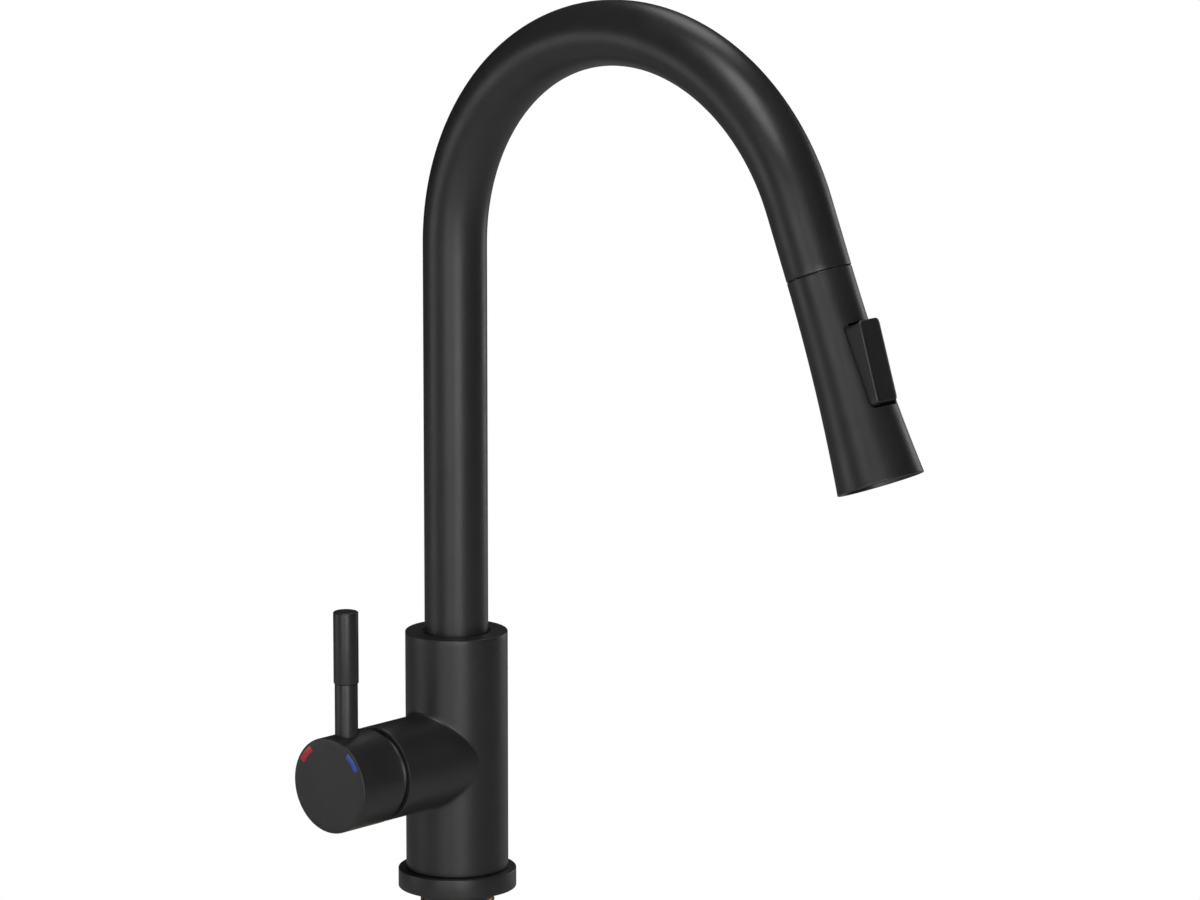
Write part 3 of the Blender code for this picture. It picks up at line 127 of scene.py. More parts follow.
def join(bm, first, second):  # quads between two rings; either may be a single point
    count = max(len(first), len(second))
    for k in range(count):
        after = (k + 1) % count
        corners = [first[k % len(first)], first[after % len(first)]]
        corners += [second[after % len(second)], second[k % len(second)]]
        corners = [vert for i, vert in enumerate(corners) if vert not in corners[:i]]
        if len(corners) > 2:
            bm.faces.new(corners)


def ringOf(bm, radius, height, sides):
    if radius < 1e-7:
        return [bm.verts.new((0, 0, height))]
    turns = [2 * pi * k / sides for k in range(sides)]
    return [bm.verts.new((radius * sin(t), radius * cos(t), height)) for t in turns]


sharpEdge = 38  # degrees between two faces from which their edge is drawn sharp


def finishMesh(bm, name, place, sharpAt=sharpEdge):
    bmesh.ops.remove_doubles(bm, verts=bm.verts, dist=1e-7)
    bmesh.ops.recalc_face_normals(bm, faces=bm.faces)
    mesh = bpy.data.meshes.new(name)
    bm.to_mesh(mesh)
    bm.free()
    mesh.transform(place)
    mesh.shade_smooth()
    mesh.set_sharp_from_angle(angle=radians(sharpAt))
    piece = bpy.data.objects.new(name, mesh)
    bpy.context.scene.collection.objects.link(piece)
    return piece


def turn(name, outline, place, sides=128, closed=True):
    bm = bmesh.new()
    rings = [ringOf(bm, r, h, sides) for r, h in soften(outline)]
    for first, second in zip(rings, rings[1:]):
        join(bm, first, second)
    if closed:
        join(bm, rings[-1], rings[0])
    return finishMesh(bm, name, place)


def cutWith(piece, cutters):  # cuts, then leaves a plain mesh
    for cutter in cutters:
        step = piece.modifiers.new("cut", "BOOLEAN")
        step.operation = "DIFFERENCE"
        step.solver = "EXACT"
        step.object = cutter
    ready = bpy.context.evaluated_depsgraph_get()
    ready.update()
    mesh = bpy.data.meshes.new_from_object(piece.evaluated_get(ready))
    piece.modifiers.clear()
    piece.data = mesh
    for cutter in cutters:
        bpy.data.objects.remove(cutter)
    mesh.shade_smooth()
    mesh.set_sharp_from_angle(angle=radians(sharpEdge))


def peg(radius, low, high, place, sides=48):  # a plain cutter
    return turn("cutter", [(0, low), (radius, low), (radius, high), (0, high)], place, sides, closed=False)


def wear(piece, finish, body, slot, *nodes):  # gives a piece its finish and body and hides the given nodes; slot is not used
    piece.data.materials.clear()
    piece.data.materials.append(finish)
    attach(piece, body)
    if nodes:
        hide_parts(*nodes)
    return piece


def newFinish(name, colour, roughness, metallic=0.0):
    finish = bpy.data.materials.new(name)
    finish.use_nodes = True
    tree = finish.node_tree
    shader = tree.nodes["Principled BSDF"]
    shader.inputs["Base Color"].default_value = (*colour, 1)
    shader.inputs["Roughness"].default_value = roughness
    shader.inputs["Metallic"].default_value = metallic
    return finish, tree, shader


def node(tree, kind, **settings):
    made = tree.nodes.new(kind)
    for key, value in settings.items():
        if key in made.inputs:
            made.inputs[key].default_value = value
        else:
            setattr(made, key, value)
    return made


def spot(tree, stretch=(1, 1, 1)):  # texture coordinates in metres on the piece
    where = node(tree, "ShaderNodeTexCoord")
    scale = node(tree, "ShaderNodeMapping")
    scale.inputs["Scale"].default_value = stretch
    tree.links.new(where.outputs["Object"], scale.inputs["Vector"])
    return scale.outputs["Vector"]


def noise(tree, where, scale, detail=3.0, rough=0.5):
    made = node(tree, "ShaderNodeTexNoise", Scale=scale, Detail=detail, Roughness=rough)
    tree.links.new(where, made.inputs["Vector"])
    return made.outputs["Fac"]


def spread(tree, value, low, high, fromLow=0.3, fromHigh=0.7):
    made = node(tree, "ShaderNodeMapRange")
    made.inputs["From Min"].default_value = fromLow
    made.inputs["From Max"].default_value = fromHigh
    made.inputs["To Min"].default_value = low
    made.inputs["To Max"].default_value = high
    tree.links.new(value, made.inputs["Value"])
    return made.outputs["Result"]


def blendColours(tree, factor, first, second):
    made = node(tree, "ShaderNodeMix", data_type="RGBA")
    made.inputs[6].default_value = (*first, 1)
    made.inputs[7].default_value = (*second, 1)
    tree.links.new(factor, made.inputs["Factor"])
    return made.outputs[2]


def raiseBy(tree, shader, height, distance, strength=1.0, under=None):
    made = node(tree, "ShaderNodeBump")
    made.inputs["Distance"].default_value = distance
    made.inputs["Strength"].default_value = strength
    tree.links.new(height, made.inputs["Height"])
    if under is not None:
        tree.links.new(under, made.inputs["Normal"])
    tree.links.new(made.outputs["Normal"], shader.inputs["Normal"])
    return made.outputs["Normal"]


def satinBlackFinish():  # powder coat: fine grain, a faint orange peel and softly uneven sheen
    look = {"base": (0.0165, 0.0163, 0.0168), "dusty": (0.023, 0.0225, 0.0225), "edge": (0.034, 0.033, 0.033)}
    finish, tree, shader = newFinish("satin_black_coat", look["base"], 0.4)
    where = spot(tree)
    cloud = noise(tree, where, 38, 4, 0.55)
    colour = blendColours(tree, spread(tree, cloud, 0.0, 1.0), look["base"], look["dusty"])
    shape = node(tree, "ShaderNodeNewGeometry")
    # sharp outer edges turn a lighter grey in specks: partly rubbed wear, partly a painted highlight along
    # the edges
    rim = spread(tree, shape.outputs["Pointiness"], 0.0, 0.35, 0.515, 0.56)
    speck = spread(tree, noise(tree, where, 900, 2, 0.6), 0.2, 1.0, 0.42, 0.62)
    wearAndPaintedEdgeHighlight = node(tree, "ShaderNodeMath", operation="MULTIPLY")
    tree.links.new(rim, wearAndPaintedEdgeHighlight.inputs[0])
    tree.links.new(speck, wearAndPaintedEdgeHighlight.inputs[1])
    edged = node(tree, "ShaderNodeMix", data_type="RGBA")
    edged.inputs[7].default_value = (*look["edge"], 1)
    tree.links.new(wearAndPaintedEdgeHighlight.outputs[0], edged.inputs["Factor"])
    tree.links.new(colour, edged.inputs[6])
    tree.links.new(edged.outputs[2], shader.inputs["Base Color"])
    tree.links.new(spread(tree, noise(tree, where, 55, 3, 0.6), 0.33, 0.41), shader.inputs["Roughness"])
    peel = raiseBy(tree, shader, noise(tree, where, 420, 2, 0.4), 0.00003, 0.5)
    raiseBy(tree, shader, noise(tree, where, 2600, 2, 0.6), 0.000018, 0.6, peel)
    return finish


def tint(tree, shader, value, colour, darker):  # shifts the base colour as the value rises
    shade = blendColours(tree, spread(tree, value, 0.0, 1.0), colour, darker)
    tree.links.new(shade, shader.inputs["Base Color"])


def turnedMetalFinish(name, colour, darker, axis, rough=0.3):  # lathe marks that run round the given axis
    finish, tree, shader = newFinish(name, colour, rough, 1.0)
    marks = {"alongThem": 30, "acrossThem": 2600}
    stretch = [marks["alongThem"]] * 3
    stretch[axis] = marks["acrossThem"]
    rings = noise(tree, spot(tree, stretch), 1.0, 4, 0.65)
    cloud = noise(tree, spot(tree), 90, 4, 0.6)
    tint(tree, shader, cloud, colour, darker)
    tree.links.new(spread(tree, rings, rough - 0.08, rough + 0.12), shader.inputs["Roughness"])
    raiseBy(tree, shader, rings, 0.00002, 0.6)
    return finish


def mouldedFinish(name, colour, darker, rough, grain=1800, depth=0.00003):  # rubber and plastic
    finish, tree, shader = newFinish(name, colour, rough)
    where = spot(tree)
    cloud = noise(tree, where, 70, 4, 0.6)
    tint(tree, shader, cloud, colour, darker)
    uneven = spread(tree, noise(tree, where, 160, 3), rough - 0.06, rough + 0.08)
    tree.links.new(uneven, shader.inputs["Roughness"])
    raiseBy(tree, shader, noise(tree, where, grain, 3, 0.6), depth, 0.7)
    return finish


def enamelFinish(name, colour, darker):  # thin printed enamel with a slightly uneven skin
    finish, tree, shader = newFinish(name, colour, 0.32)
    where = spot(tree)
    tint(tree, shader, noise(tree, where, 500, 3), colour, darker)
    tree.links.new(spread(tree, noise(tree, where, 300, 2), 0.28, 0.4), shader.inputs["Roughness"])
    raiseBy(tree, shader, noise(tree, where, 900, 2), 0.00003, 0.5)
    shader.inputs["Coat Weight"].default_value = 0.25
    return finish


def braidFinish():  # woven sleeve: dark strands with a paler tracer, laid both ways
    look = {"strand": (0.018, 0.018, 0.02), "tracer": (0.2, 0.2, 0.21), "pitch": 9 * mm, "strands": 12}
    finish, tree, shader = newFinish("hose_sleeve", look["strand"], 0.55)
    along = node(tree, "ShaderNodeUVMap", uv_map="sleeve")
    parts = node(tree, "ShaderNodeSeparateXYZ")
    tree.links.new(along.outputs["UV"], parts.inputs["Vector"])

    def weave(direction, strands):
        mix = node(tree, "ShaderNodeMath", operation="MULTIPLY_ADD")
        mix.inputs[1].default_value = direction / look["pitch"]
        tree.links.new(parts.outputs["Y"], mix.inputs[0])
        tree.links.new(parts.outputs["X"], mix.inputs[2])
        turns = node(tree, "ShaderNodeMath", operation="MULTIPLY")
        turns.inputs[1].default_value = 2 * pi * strands
        tree.links.new(mix.outputs[0], turns.inputs[0])
        wave = node(tree, "ShaderNodeMath", operation="SINE")
        tree.links.new(turns.outputs[0], wave.inputs[0])
        return wave.outputs[0]

    left, right = weave(1.0, look["strands"]), weave(-1.0, look["strands"])
    higher = node(tree, "ShaderNodeMath", operation="MAXIMUM")
    tree.links.new(left, higher.inputs[0])
    tree.links.new(right, higher.inputs[1])
    tracer = spread(tree, weave(1.0, 2), 0.0, 1.0, 0.86, 0.94)
    tree.links.new(blendColours(tree, tracer, look["strand"], look["tracer"]), shader.inputs["Base Color"])
    fuzz = noise(tree, along.outputs["UV"], 2500, 2)
    tree.links.new(spread(tree, fuzz, 0.48, 0.66), shader.inputs["Roughness"])
    raiseBy(tree, shader, higher.outputs[0], 0.0002, 0.8)
    shader.inputs["Sheen Weight"].default_value = 0.2
    return finish


print("finishes")
satinBlack = satinBlackFinish()
uprightBrass = turnedMetalFinish("turned_brass_upright", (0.66, 0.49, 0.23), (0.55, 0.38, 0.16), 2)
valveBrass = turnedMetalFinish("turned_brass_valve", (0.66, 0.49, 0.23), (0.55, 0.38, 0.16), 0)
uprightSteel = turnedMetalFinish("turned_steel_upright", (0.66, 0.66, 0.64), (0.54, 0.54, 0.53), 2, 0.28)
valveSteel = turnedMetalFinish("turned_steel_valve", (0.66, 0.66, 0.64), (0.54, 0.54, 0.53), 0, 0.28)
platedZinc = turnedMetalFinish("zinc_plated_steel", (0.7, 0.69, 0.66), (0.57, 0.57, 0.55), 2, 0.36)
copperTail = turnedMetalFinish("copper_pipe", (0.83, 0.43, 0.27), (0.62, 0.29, 0.17), 2, 0.26)
softBlackRubber = mouldedFinish("black_rubber", (0.022, 0.022, 0.022), (0.034, 0.033, 0.032), 0.72)
nozzleSilicone = mouldedFinish("nozzle_silicone", (0.09, 0.09, 0.092), (0.12, 0.12, 0.12), 0.6, 1200)
blackPlastic = mouldedFinish("black_moulded_plastic", (0.02, 0.02, 0.021), (0.03, 0.03, 0.03), 0.5, 2200)
greyPlastic = mouldedFinish("grey_moulded_plastic", (0.36, 0.365, 0.37), (0.3, 0.305, 0.31), 0.46, 2000)
lappedCeramic = mouldedFinish("lapped_ceramic", (0.84, 0.82, 0.77), (0.78, 0.76, 0.71), 0.2, 4000, 0.000006)
hoseSleeve = braidFinish()
hotEnamel = enamelFinish("hot_mark_enamel_coat", (0.52, 0.012, 0.03), (0.4, 0.01, 0.022))
coldEnamel = enamelFinish("cold_mark_enamel_coat", (0.025, 0.075, 0.4), (0.018, 0.05, 0.3))


def divide(points, longest):  # extra points along the long straight runs of an outline
    found = []
    for index, here in enumerate(points):
        following = points[(index + 1) % len(points)]
        parts = max(1, ceil((following - here).length / longest))
        found += [here.lerp(following, k / parts) for k in range(parts)]
    return found


def skinWithHole(bm, rows, columns, window, middle, holeAt, between, angles=None):
    # rows: (radius, height). window: (columns each side of local Y, first row, last row).
    # holeAt(angle) is the hole's edge as (turn, height); angle 0 points up the skin
    reach, low, high = window
    grid = {}
    for j, (r, h) in enumerate(rows):
        for i in range(columns):
            if low < j < high and (i < reach or i > columns - reach):
                continue
            t = 2 * pi * i / columns
            grid[i, j] = bm.verts.new((r * sin(t), r * cos(t), h))
    for j in range(len(rows) - 1):
        for i in range(columns):
            offset = i if i < columns / 2 else i - columns
            if low <= j < high and -reach <= offset < reach:
                continue
            after = (i + 1) % columns
            bm.faces.new((grid[i, j], grid[after, j], grid[after, j + 1], grid[i, j + 1]))
    border = [(i, low) for i in range(-reach, reach)] + [(reach, j) for j in range(low, high)]
    border += [(i, high) for i in range(reach, -reach, -1)] + [(-reach, j) for j in range(high, low, -1)]

    def radiusAt(height):
        for (r0, h0), (r1, h1) in zip(rows[low:high], rows[low + 1:high + 1]):
            if min(h0, h1) <= height <= max(h0, h1):
                return r0 + (r1 - r0) * (height - h0) / (h1 - h0)
        return rows[high][0]

    if angles is None:
        angles = [atan2(2 * pi * i / columns * rows[j][0], rows[j][1] - middle) for i, j in border]
    rings = [[grid[i % columns, j] for i, j in border]]
    for k in range(1, between + 1):
        ring = []
        for (i, j), angle in zip(border, angles):
            t, h = 2 * pi * i / columns, rows[j][1]
            t1, h1 = holeAt(angle)
            share = k / between
            tk, hk = t + (t1 - t) * share, h + (h1 - h) * share
            rk = radiusAt(hk)
            ring.append(bm.verts.new((rk * sin(tk), rk * cos(tk), hk)))
        rings.append(ring)
    for first, second in zip(rings, rings[1:]):
        join(bm, first, second)
    ends = [[grid[i, j] for i in range(columns)] for j in (0, len(rows) - 1)]
    return {"first": ends[0], "last": ends[1], "hole": rings[-1], "angles": angles}


def carryOn(bm, ring, stations):  # rings of points that follow an edge, each the same count as the edge
    for points in stations:
        following = [bm.verts.new(point) for point in points]
        join(bm, ring, following)
        ring = following
    return ring


def quarter(radius, parts=4):  # (in, along) offsets of a rounded edge, from the face it leaves
    turns = [pi / 2 * k / parts for k in range(1, parts + 1)]
    return [(radius * sin(t), radius * (1 - cos(t))) for t in turns]


def makeBody():
    size = {
        "edge": 0.5 * mm, "bossEdge": 0.22 * mm, "fillet": 1.7 * mm, "lipEdge": 0.25 * mm,
        "socket": tubeR + 2.3 * mm, "socketDeep": 30 * mm, "lip": tubeR + 0.8 * mm, "lipThick": 1.0 * mm,
        "bore": 7 * mm, "boreFoot": 12 * mm, "foot": 19 * mm, "footDeep": 2.3 * mm,
        "mouth": 18.9 * mm, "mouthRings": (50 * mm, 47 * mm), "shoulder": 43.6 * mm,
        "pocket": 17.8 * mm, "floor": 13.5 * mm, "screwGap": 0.25 * mm, "screwLong": 5 * mm,
        "rowGap": 2 * mm, "window": 44 * mm,
    }
    count = {"columns": 144, "reach": 40, "between": 14, "fillet": 7, "boss": 10}
    outline = soften([
        (size["foot"], bodyFoot),
        (bodyR, bodyFoot, size["edge"]),
        (bodyR, bodyTop, size["edge"]),
        (size["lip"], bodyTop, size["lipEdge"]),
        (size["lip"], bodyTop - size["lipThick"]),
        (size["socket"], bodyTop - size["lipThick"]),
        (size["socket"], bodyTop - size["socketDeep"]),
        (size["bore"], bodyTop - size["socketDeep"]),
        (size["bore"], bodyFoot + size["boreFoot"]),
        (size["foot"], bodyFoot + size["footDeep"]),
    ])
    rows = [tuple(point) for point in divide(outline, size["rowGap"])]
    wall = [j for j, (r, h) in enumerate(rows) if r > bodyR - 1e-6 and abs(h - valveZ) < size["window"]]
    bossPath, bodyPath = bossR + size["fillet"], bodyR + size["fillet"]

    def ballCentre(angle):  # of a ball that rolls round the corner between boss and body
        across = bossPath * sin(angle)
        return Vector((across, sqrt(bodyPath**2 - across**2), valveZ + bossPath * cos(angle)))

    def edgeOnBody(angle):
        centre = ballCentre(angle)
        return asin(centre.x / bodyPath), centre.z

    bm = bmesh.new()
    around = (count["reach"], wall[0], wall[-1])
    skin = skinWithHole(bm, rows, count["columns"], around, valveZ, edgeOnBody, count["between"])
    join(bm, skin["last"], skin["first"])
    stations = [[] for _ in range(count["fillet"])]
    lengths = []
    for angle in skin["angles"]:
        centre = ballCentre(angle)
        turnOn, height = edgeOnBody(angle)
        first = Vector((bodyR * sin(turnOn), bodyR * cos(turnOn), height)) - centre
        last = Vector((bossR * sin(angle), centre.y, valveZ + bossR * cos(angle))) - centre
        bend = first.angle(last)
        for k in range(1, count["fillet"] + 1):
            share = k / count["fillet"]
            mix = first * sin((1 - share) * bend) + last * sin(share * bend)
            stations[k - 1].append(centre + mix / sin(bend))
        lengths.append(centre.y)

    def bossRing(radius, out):
        return [Vector((radius * sin(a), out, valveZ + radius * cos(a))) for a in skin["angles"]]

    straight = bossEnd - size["bossEdge"]
    for k in range(1, count["boss"] + 1):
        along = [start + (straight - start) * k / count["boss"] for start in lengths]
        stations.append([
            Vector((bossR * sin(a), out, valveZ + bossR * cos(a))) for a, out in zip(skin["angles"], along)
        ])
    stations += [bossRing(bossR - inward, straight + along) for along, inward in quarter(size["bossEdge"])]
    rounded = [(0, 0), *quarter(size["lipEdge"])]
    mouthOuter = size["mouth"] + size["lipEdge"]
    stations += [bossRing(mouthOuter - inward, bossEnd - down) for inward, down in rounded]
    stations += [bossRing(size["mouth"], out) for out in size["mouthRings"]]
    stations += [bossRing(size[name], size["shoulder"]) for name in ("mouth", "pocket")]
    stations += [bossRing(size["pocket"], size["floor"]), bossRing(0, size["floor"])]
    carryOn(bm, skin["hole"], stations)
    body = finishMesh(bm, "body_casting", uprightAxis)
    screwLow, screwHigh = boxOf("spout_lock_screw")
    screwZ, screwR = (screwLow.z + screwHigh.z) / 2, (screwHigh.x - screwLow.x) / 2
    behind = Matrix.Translation((0, 0, screwZ)) @ Matrix.Rotation(-pi / 2, 4, "X")
    cutWith(body, [peg(screwR + size["screwGap"], bodyR - size["screwLong"], bodyR + 2 * mm, behind)])
    wear(body, satinBlack, "tap_body", "matt_black_coat", "faucet_body")
    makeSpoutScrew(screwR, screwHigh.y - size["screwLong"], screwHigh.y, behind)


def makeSpoutScrew(radius, low, high, place):  # set screw with a hexagon socket
    size = {"edge": 0.35 * mm, "socket": 0.55 * radius, "socketDeep": 2 * mm}
    outline = [(0, low), (radius, low), (radius, high, size["edge"]), (0, high)]
    screw = turn("spout_screw", outline, place, 64, closed=False)
    cutWith(screw, [peg(size["socket"], high - size["socketDeep"], high + mm, place, 6)])
    wear(screw, uprightSteel, "tap_body", "steel", "spout_lock_screw")


def makeFlange():
    high = boxOf("base_flange")[1]
    outer, top = high.x, bodyFoot - 0.3 * mm
    size = {
        "bore": 16.7 * mm, "lip": 18.7 * mm, "edge": 0.55 * mm, "footEdge": 0.4 * mm,
        "band": 6.1 * mm, "rim": 2.0 * mm, "recess": 1.5 * mm, "gasket": 3.4 * mm, "soft": 0.3 * mm,
    }
    flange = turn("deck_flange", [
        (size["bore"], 0),
        (outer - size["band"], 0),
        (outer - size["band"], size["recess"]),
        (outer - size["rim"], size["recess"]),
        (outer - size["rim"], 0),
        (outer, 0, size["footEdge"]),
        (outer, top, size["edge"]),
        (size["lip"], top),
        (size["lip"], high.z),
        (size["bore"], high.z),
    ], Matrix(), 160)
    wear(flange, satinBlack, "tap_body", "matt_black_coat", "base_flange")
    high = boxOf("deck_gasket")[1]
    inner = high.x - size["gasket"]
    outline = [(inner, 0, size["soft"]), (high.x, 0, size["soft"]), (high.x, high.z), (inner, high.z)]
    gasket = turn("flange_gasket", outline, Matrix(), 128)
    wear(gasket, softBlackRubber, "tap_body", "rubber", "deck_gasket")


def turnShaped(name, heights, columns, radiusAt, bore, place):  # turned, with a radius that varies round it
    bm = bmesh.new()
    rings = []
    for h in heights:
        turns = [2 * pi * i / columns for i in range(columns)]
        rings.append([bm.verts.new((radiusAt(t, h) * sin(t), radiusAt(t, h) * cos(t), h)) for t in turns])
    for h in (heights[-1], heights[0]):
        rings.append(ringOf(bm, bore, h, columns))
    for first, second in zip(rings, rings[1:] + rings[:1]):
        join(bm, first, second)
    return finishMesh(bm, name, place, 50)


def evenSteps(low, high, step):
    count = max(1, round((high - low) / step))
    return [low + (high - low) * k / count for k in range(count + 1)]


def makeShank():
    low, high = boxOf("threaded_shank")
    thread = {"pitch": 1.5 * mm, "deep": 0.75 * mm, "runOut": 2.0 * mm, "wall": 2.4 * mm}
    outer = high.x

    def threadAt(t, h):
        phase = (h / thread["pitch"] - t / (2 * pi)) % 1
        valley = max(0.0, min(1.0, (abs(phase - 0.5) * 2 - 0.15) / 0.7))
        fade = min(1.0, max(0.15, (h - low.z) / thread["runOut"]))
        return outer - thread["deep"] * valley * fade - (1 - fade) * thread["deep"] * 0.6

    heights = evenSteps(low.z, high.z, thread["pitch"] / 8)
    shank = turnShaped("threaded_stem", heights, 72, threadAt, outer - thread["wall"], Matrix())
    wear(shank, uprightBrass, "tap_body", "brass", "threaded_shank")
    neck = {"thick": 0.4 * mm, "long": 4.2 * mm}
    sleeve = turn("stem_neck", [
        (outer, -neck["long"]),
        (outer + neck["thick"], -neck["long"], 0.15 * mm),
        (outer + neck["thick"], 0),
        (outer, 0),
    ], Matrix(), 128)
    wear(sleeve, satinBlack, "tap_body", "matt_black_coat", "threaded_shank")


def makeClamp():
    for cad, name, finish, slot, edge in (
        ("clamp_gasket", "deck_seal", softBlackRubber, "rubber", 0.5 * mm),
        ("clamp_washer", "clamp_plate", platedZinc, "steel", 0.3 * mm),
    ):
        low, high = boxOf(cad)
        bore = 16.8 * mm
        ring = turn(name, [
            (bore, low.z, edge), (high.x, low.z, edge), (high.x, high.z, edge), (bore, high.z, edge),
        ], Matrix(), 128)
        wear(ring, finish, "tap_body", slot, cad)
    low, high = boxOf("mounting_nut")
    flats, chamfer = high.y, 1.6 * mm

    def hexAt(t, h):
        corner = flats / cos((t + pi / 6) % (pi / 3) - pi / 6)
        edge = min(h - low.z, high.z - h)
        return min(corner, flats * 1.02 + max(0.0, edge) * 2.4)

    heights = evenSteps(low.z, low.z + chamfer, 0.2 * mm)[:-1]
    heights += evenSteps(low.z + chamfer, high.z - chamfer, 1.5 * mm)
    heights += evenSteps(high.z - chamfer, high.z, 0.2 * mm)[1:]
    cornersOnX = widthOf("mounting_nut") > widthOf("mounting_nut", 1)
    place = Matrix.Rotation(pi / 6, 4, "Z") if cornersOnX else Matrix()
    nut = turnShaped("shank_nut", heights, 180, hexAt, 16.9 * mm, place)
    wear(nut, uprightBrass, "tap_body", "brass", "mounting_nut")


def makeTails():
    for cad, name in (("hot_tail", "hot_pipe"), ("cold_tail", "cold_pipe"), ("mixed_tail", "mixed_pipe")):
        low, high = boxOf(cad)
        middle = (low + high) / 2
        radius, bore = 3.0 * mm, 1.9 * mm
        outline = [(bore, low.z, 0.3 * mm), (radius, low.z, 0.5 * mm)]
        for k in range(3):  # barbs that hold the hose
            at = low.z + (2.5 + 2.2 * k) * mm
            barb = radius + 0.3 * mm
            outline += [(barb, at + 0.2 * mm), (barb, at + 0.7 * mm), (radius, at + 1.9 * mm)]
        outline += [(radius, high.z), (bore, high.z)]
        pipe = turn(name, outline, Matrix.Translation((middle.x, middle.y, 0)), 48)
        wear(pipe, copperTail, "tap_body", "brass", cad)


def makeCoupling():
    low, high = boxOf("hose_coupling")
    collar, hose = high.x, 5.5 * mm  # radii
    top, base = high.z, low.z
    middle = (top + base) / 2
    thread = [(hose - 1.0 * mm, base, 0.4 * mm)]
    for k in range(9):
        at = base + (1.5 + 1.2 * k) * mm
        thread += [(hose - 1.0 * mm, at), (hose - 1.45 * mm, at + 0.6 * mm)]
    outline = [
        (0, base), *thread, (hose - 1.0 * mm, middle),
        (collar, middle, 0.5 * mm), (collar, middle + 5.4 * mm, 0.5 * mm),
        (hose + 0.9 * mm, middle + 5.4 * mm), (hose + 0.9 * mm, top, 0.4 * mm), (0, top),
    ]
    coupling = turn("hose_connector", outline, Matrix(), 96, closed=False)
    wear(coupling, uprightBrass, "tap_body", "brass", "hose_coupling")


def makeSwivel():
    low = boxOf("swivel_bush")[0]
    inner, outer, top = tubeR + 0.12 * mm, tubeR + 2.22 * mm, bodyTop - 1.1 * mm
    bush = turn("swivel_collar", [
        (inner, low.z), (outer, low.z), (outer, top, 0.15 * mm), (inner, top, 0.15 * mm),
    ], Matrix(), 128)
    wear(bush, blackPlastic, "tap_body", "black_plastic", "swivel_bush")


def makeDome():
    pivot = -Vector(joints["flow_lift"]["pos_m"]).x
    low = -boxOf("trim_dome")[1].x
    start, wall, mouth, parts = 18.6 * mm, 1.4 * mm, 10.5 * mm, 12
    ball = hypot(start, bossEnd - pivot)
    first, last = acos((bossEnd - pivot) / ball), asin(mouth / ball)

    def arc(radius, begin, stop):
        turns = [begin + (stop - begin) * k / parts for k in range(parts + 1)]
        return [(radius * sin(t), pivot + radius * cos(t)) for t in turns]

    outer, inner = arc(ball, first, last), arc(ball - wall, last, first)
    dome = turn("valve_cover", [(inner[-1][0], low), (start, low), *outer, *inner], valveAxis, 128)
    wear(dome, satinBlack, "tap_body", "matt_black_coat", "trim_dome")


def makeHub():
    size = {
        "wall": 2.05 * mm, "solid": 19 * mm, "edge": 0.6 * mm, "rim": 0.22 * mm, "rodOut": 11 * mm,
        "slot": 1.2 * mm, "rodGap": 0.14 * mm,
        "plugGap": 0.15 * mm, "plugDeep": 3.2 * mm, "plugSunk": 0.35 * mm,
    }
    floor = hubEnd - size["solid"]
    groove = hubStart + size["slot"]
    outline = [Vector(point) for point in soften([
        (hubR - size["wall"], floor, 1.0 * mm),
        (hubR - size["wall"], groove, 0.2 * mm),
        (hubR, groove, size["rim"]),
        (hubR, hubEnd, size["edge"]),
        (0, hubEnd),
        (0, floor),
    ])]
    rows = divide(outline, 2.2 * mm)
    rows = [point for point in rows if point.x > 1e-6 or point in (outline[-1], outline[-2])]
    bm = bmesh.new()
    rings = [ringOf(bm, r, h, 144) for r, h in rows]
    for firstRing, second in zip(rings, rings[1:] + rings[:1]):
        if len(firstRing) > 1 or len(second) > 1:
            join(bm, firstRing, second)
    hub = finishMesh(bm, "lever_hub", valveAxis)
    rodX = -(hubEnd - size["rodOut"])
    rodR = widthOf("lever_rod", 1) / 2
    upright = Matrix.Translation((rodX, 0, valveZ))
    plugLow, plugHigh = boxOf("screw_plug")
    plugX, plugR = (plugLow.x + plugHigh.x) / 2, (plugHigh.y - plugLow.y) / 2
    below = Matrix.Translation((plugX, 0, valveZ)) @ Matrix.Rotation(pi, 4, "X")
    cutWith(hub, [
        peg(rodR + size["rodGap"], hubR - 5 * mm, hubR + 2 * mm, upright, 64),
        peg(plugR + size["plugGap"], hubR - 4 * mm, hubR + 2 * mm, below, 64),
    ])
    wear(hub, satinBlack, "lever", "matt_black_coat", "handle_hub")
    plugFoot, plugTop = hubR - size["plugDeep"], hubR - size["plugSunk"]
    outline = [(0, plugFoot), (plugR, plugFoot), (plugR, plugTop, 0.3 * mm), (0, plugTop)]
    plug = turn("hub_plug", outline, below, 48, closed=False)
    wear(plug, blackPlastic, "lever", "black_plastic", "screw_plug")


